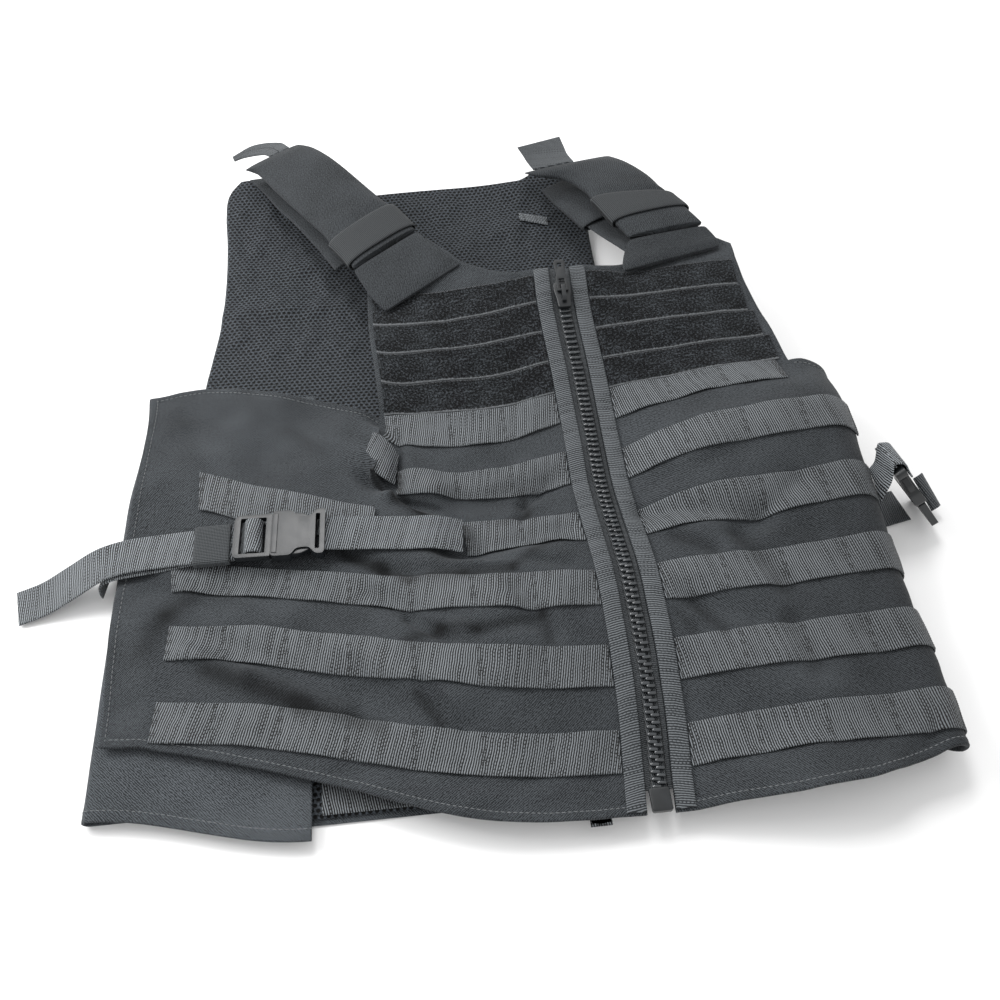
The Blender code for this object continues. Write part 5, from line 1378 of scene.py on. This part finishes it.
def left_straps():
    buckle("left", BUCKLE_LEFT)
    rows = ((-74.5, -33, 24, -84.3, -54.7, 15.6, 1.4), (-70.5, -35.5, 24.6, -79, -58.8, 16.4, 1.4),
            (-63.2, -42.4, 22, -69, -67.1, 14.6, 1.4), (-58, -49, 15, -62, -70, 10, 1.4))
    ribbon("row_left_2_end", rows, WEBBING_FINISH, cell=1.2)
    path = [(-110, -115.2, 25.6), (-106.3, -115.5, 25.6), (-94.8, -115.6, 23.8), (-75.7, -116.4, 22.7),
            (-66.5, -117.2, 22.3), (-56.7, -118, 21.9), (-37.7, -120, 22.9), (-19.4, -121.5, 17)]
    ribbon("buckle_webbing_left", edge_rows(path), STRAP_FINISH, "buckle_strap_left")
    loop = placed(BUCKLE_LEFT, [(x, 0, z) for x, z in LADDER_LOOP])
    ribbon("ladder_webbing_left", edge_rows(loop, across=(0, 1, 0)), STRAP_FINISH, cell=0.9)
    path = [(-164.5, -114.8, 20.8), (-179, -115.3, 20.8), (-192.5, -116, 20.8), (-214, -117.5, 18.9),
            (-234, -119.5, 18.7), (-243.5, -121, 17.1), (-248.8, -122.5, 13), (-249.6, -123, 7),
            (-249.4, -123.4, 2.4)]
    ribbon("side_webbing_left", edge_rows(path, across=(0.14, 0.99, 0)), STRAP_FINISH,
           "side_strap_left", cell=1.2)
    path = [(-164.5, -114.8, 22.5), (-179, -115.4, 22.5), (-192, -115.6, 22.5), (-214, -116, 21.5),
            (-234, -117.5, 21.3), (-250, -121, 19.5), (-268, -127, 12.5), (-287, -133, 5),
            (-304.5, -137, 1.6)]
    ribbon("side_tail_webbing_left", edge_rows(path), STRAP_FINISH, "side_tail_left")
    centre, height, width = 21.87, 4.2, 27
    rows = [(x, -115.4 - width / 2, centre, x, -115.4 + width / 2, centre, height)
            for x in (-190.5, -183, -175, -167.5)]
    tube_band("keeper_left", rows, 0, 3, 1.1, 0, KEEPER_FINISH, "strap_keeper_left", power=6,
              cell=0.12)


def right_straps():
    buckle("right", BUCKLE_RIGHT)
    rows = ((249.6, -135.6, 34.1, 248.6, -111.6, 38.9, 1.3), (253.7, -130.5, 48.6, 253.9, -106.5, 40.4, 1.3),
            (255.5, -123.1, 56.8, 255.8, -99.1, 48.7, 1.3), (257.9, -124.2, 53.8, 258.2, -100.1, 45.7, 1.3))
    ribbon("buckle_webbing_right", rows, STRAP_FINISH, "buckle_strap_right", cell=0.9)
    rows = ((255.8, -123.2, 57.4, 256.1, -99.2, 49.3, 1.3), (262.1, -123.5, 56.7, 262.4, -99.4, 48.6, 1.3),
            (267, -125.6, 50, 267.2, -101.5, 41.9, 1.3), (269.9, -126.8, 46.2, 270.2, -102.8, 38, 1.3))
    ribbon("buckle_fold_right", rows, STRAP_FINISH, cell=0.9)
    path = [(222, -129, 0.75), (243, -125, 0.75), (256, -122.5, 0.75), (270, -119.4, 0.75),
            (281.5, -117, 0.75)]
    ribbon("side_webbing_right", edge_rows(path), TAIL_FINISH, "side_strap_right")
    path = [(291.1, -118.9, 13.5), (296.1, -116.8, 14.5), (299, -114.5, 13.2)]
    ribbon("side_tail_webbing_right", edge_rows(path, across=(-0.446, 0.741, 0.502)), TAIL_FINISH,
           "side_tail_right", cell=0.9)


left_straps()
right_straps()


# Floor, light and camera

def stage_floor():
    bpy.ops.mesh.primitive_plane_add(size=8, location=(0, 0, -0.0004))
    floor = bpy.context.object
    floor.name = "floor"
    finish = Finish("pale_floor", 0.9)
    finish.inputs["Base Color"].default_value = (FLOOR_GREY, FLOOR_GREY, FLOOR_GREY, 1)
    floor.data.materials.append(finish.material)


def area_light(name, place, aim, size, power):
    data = bpy.data.lights.new(name, "AREA")
    data.shape = "RECTANGLE"
    data.size, data.size_y = size
    data.energy = power
    obj = linked(name, data)
    obj.location = place
    obj.rotation_euler = (Vector(aim) - Vector(place)).to_track_quat("-Z", "Y").to_euler()


def stage_light():
    world = bpy.data.worlds.new("studio")
    bpy.context.scene.world = world
    world.use_nodes = True
    shade = world.node_tree.nodes["Background"]
    shade.inputs[0].default_value = (1, 1, 1, 1)
    shade.inputs[1].default_value = SKY_LEVEL
    area_light("key_light", (-0.95, 0.35, 0.72), (-0.05, 0, 0), (0.8, 0.8), 13)
    area_light("back_light", (-0.3, 1.2, 2), (0, 0.05, 0), (0.9, 0.7), 22)
    settings = bpy.context.scene.view_settings
    settings.view_transform = "Standard"
    settings.look = "None"


def stage_camera():
    data = bpy.data.cameras.new("camera")
    data.lens, data.sensor_width = CAMERA_LENS, CAMERA_SENSOR
    data.clip_start = 0.01
    obj = linked("camera", data)
    down, turn = math.radians(CAMERA_DOWN), math.radians(CAMERA_TURN)
    aim = Vector((math.cos(down) * math.sin(turn), math.cos(down) * math.cos(turn), -math.sin(down)))
    obj.location = to_metres(CAMERA_PLACE)
    obj.rotation_euler = aim.to_track_quat("-Z", "Y").to_euler()
    bpy.context.scene.camera = obj


stage_floor()
stage_light()
stage_camera()
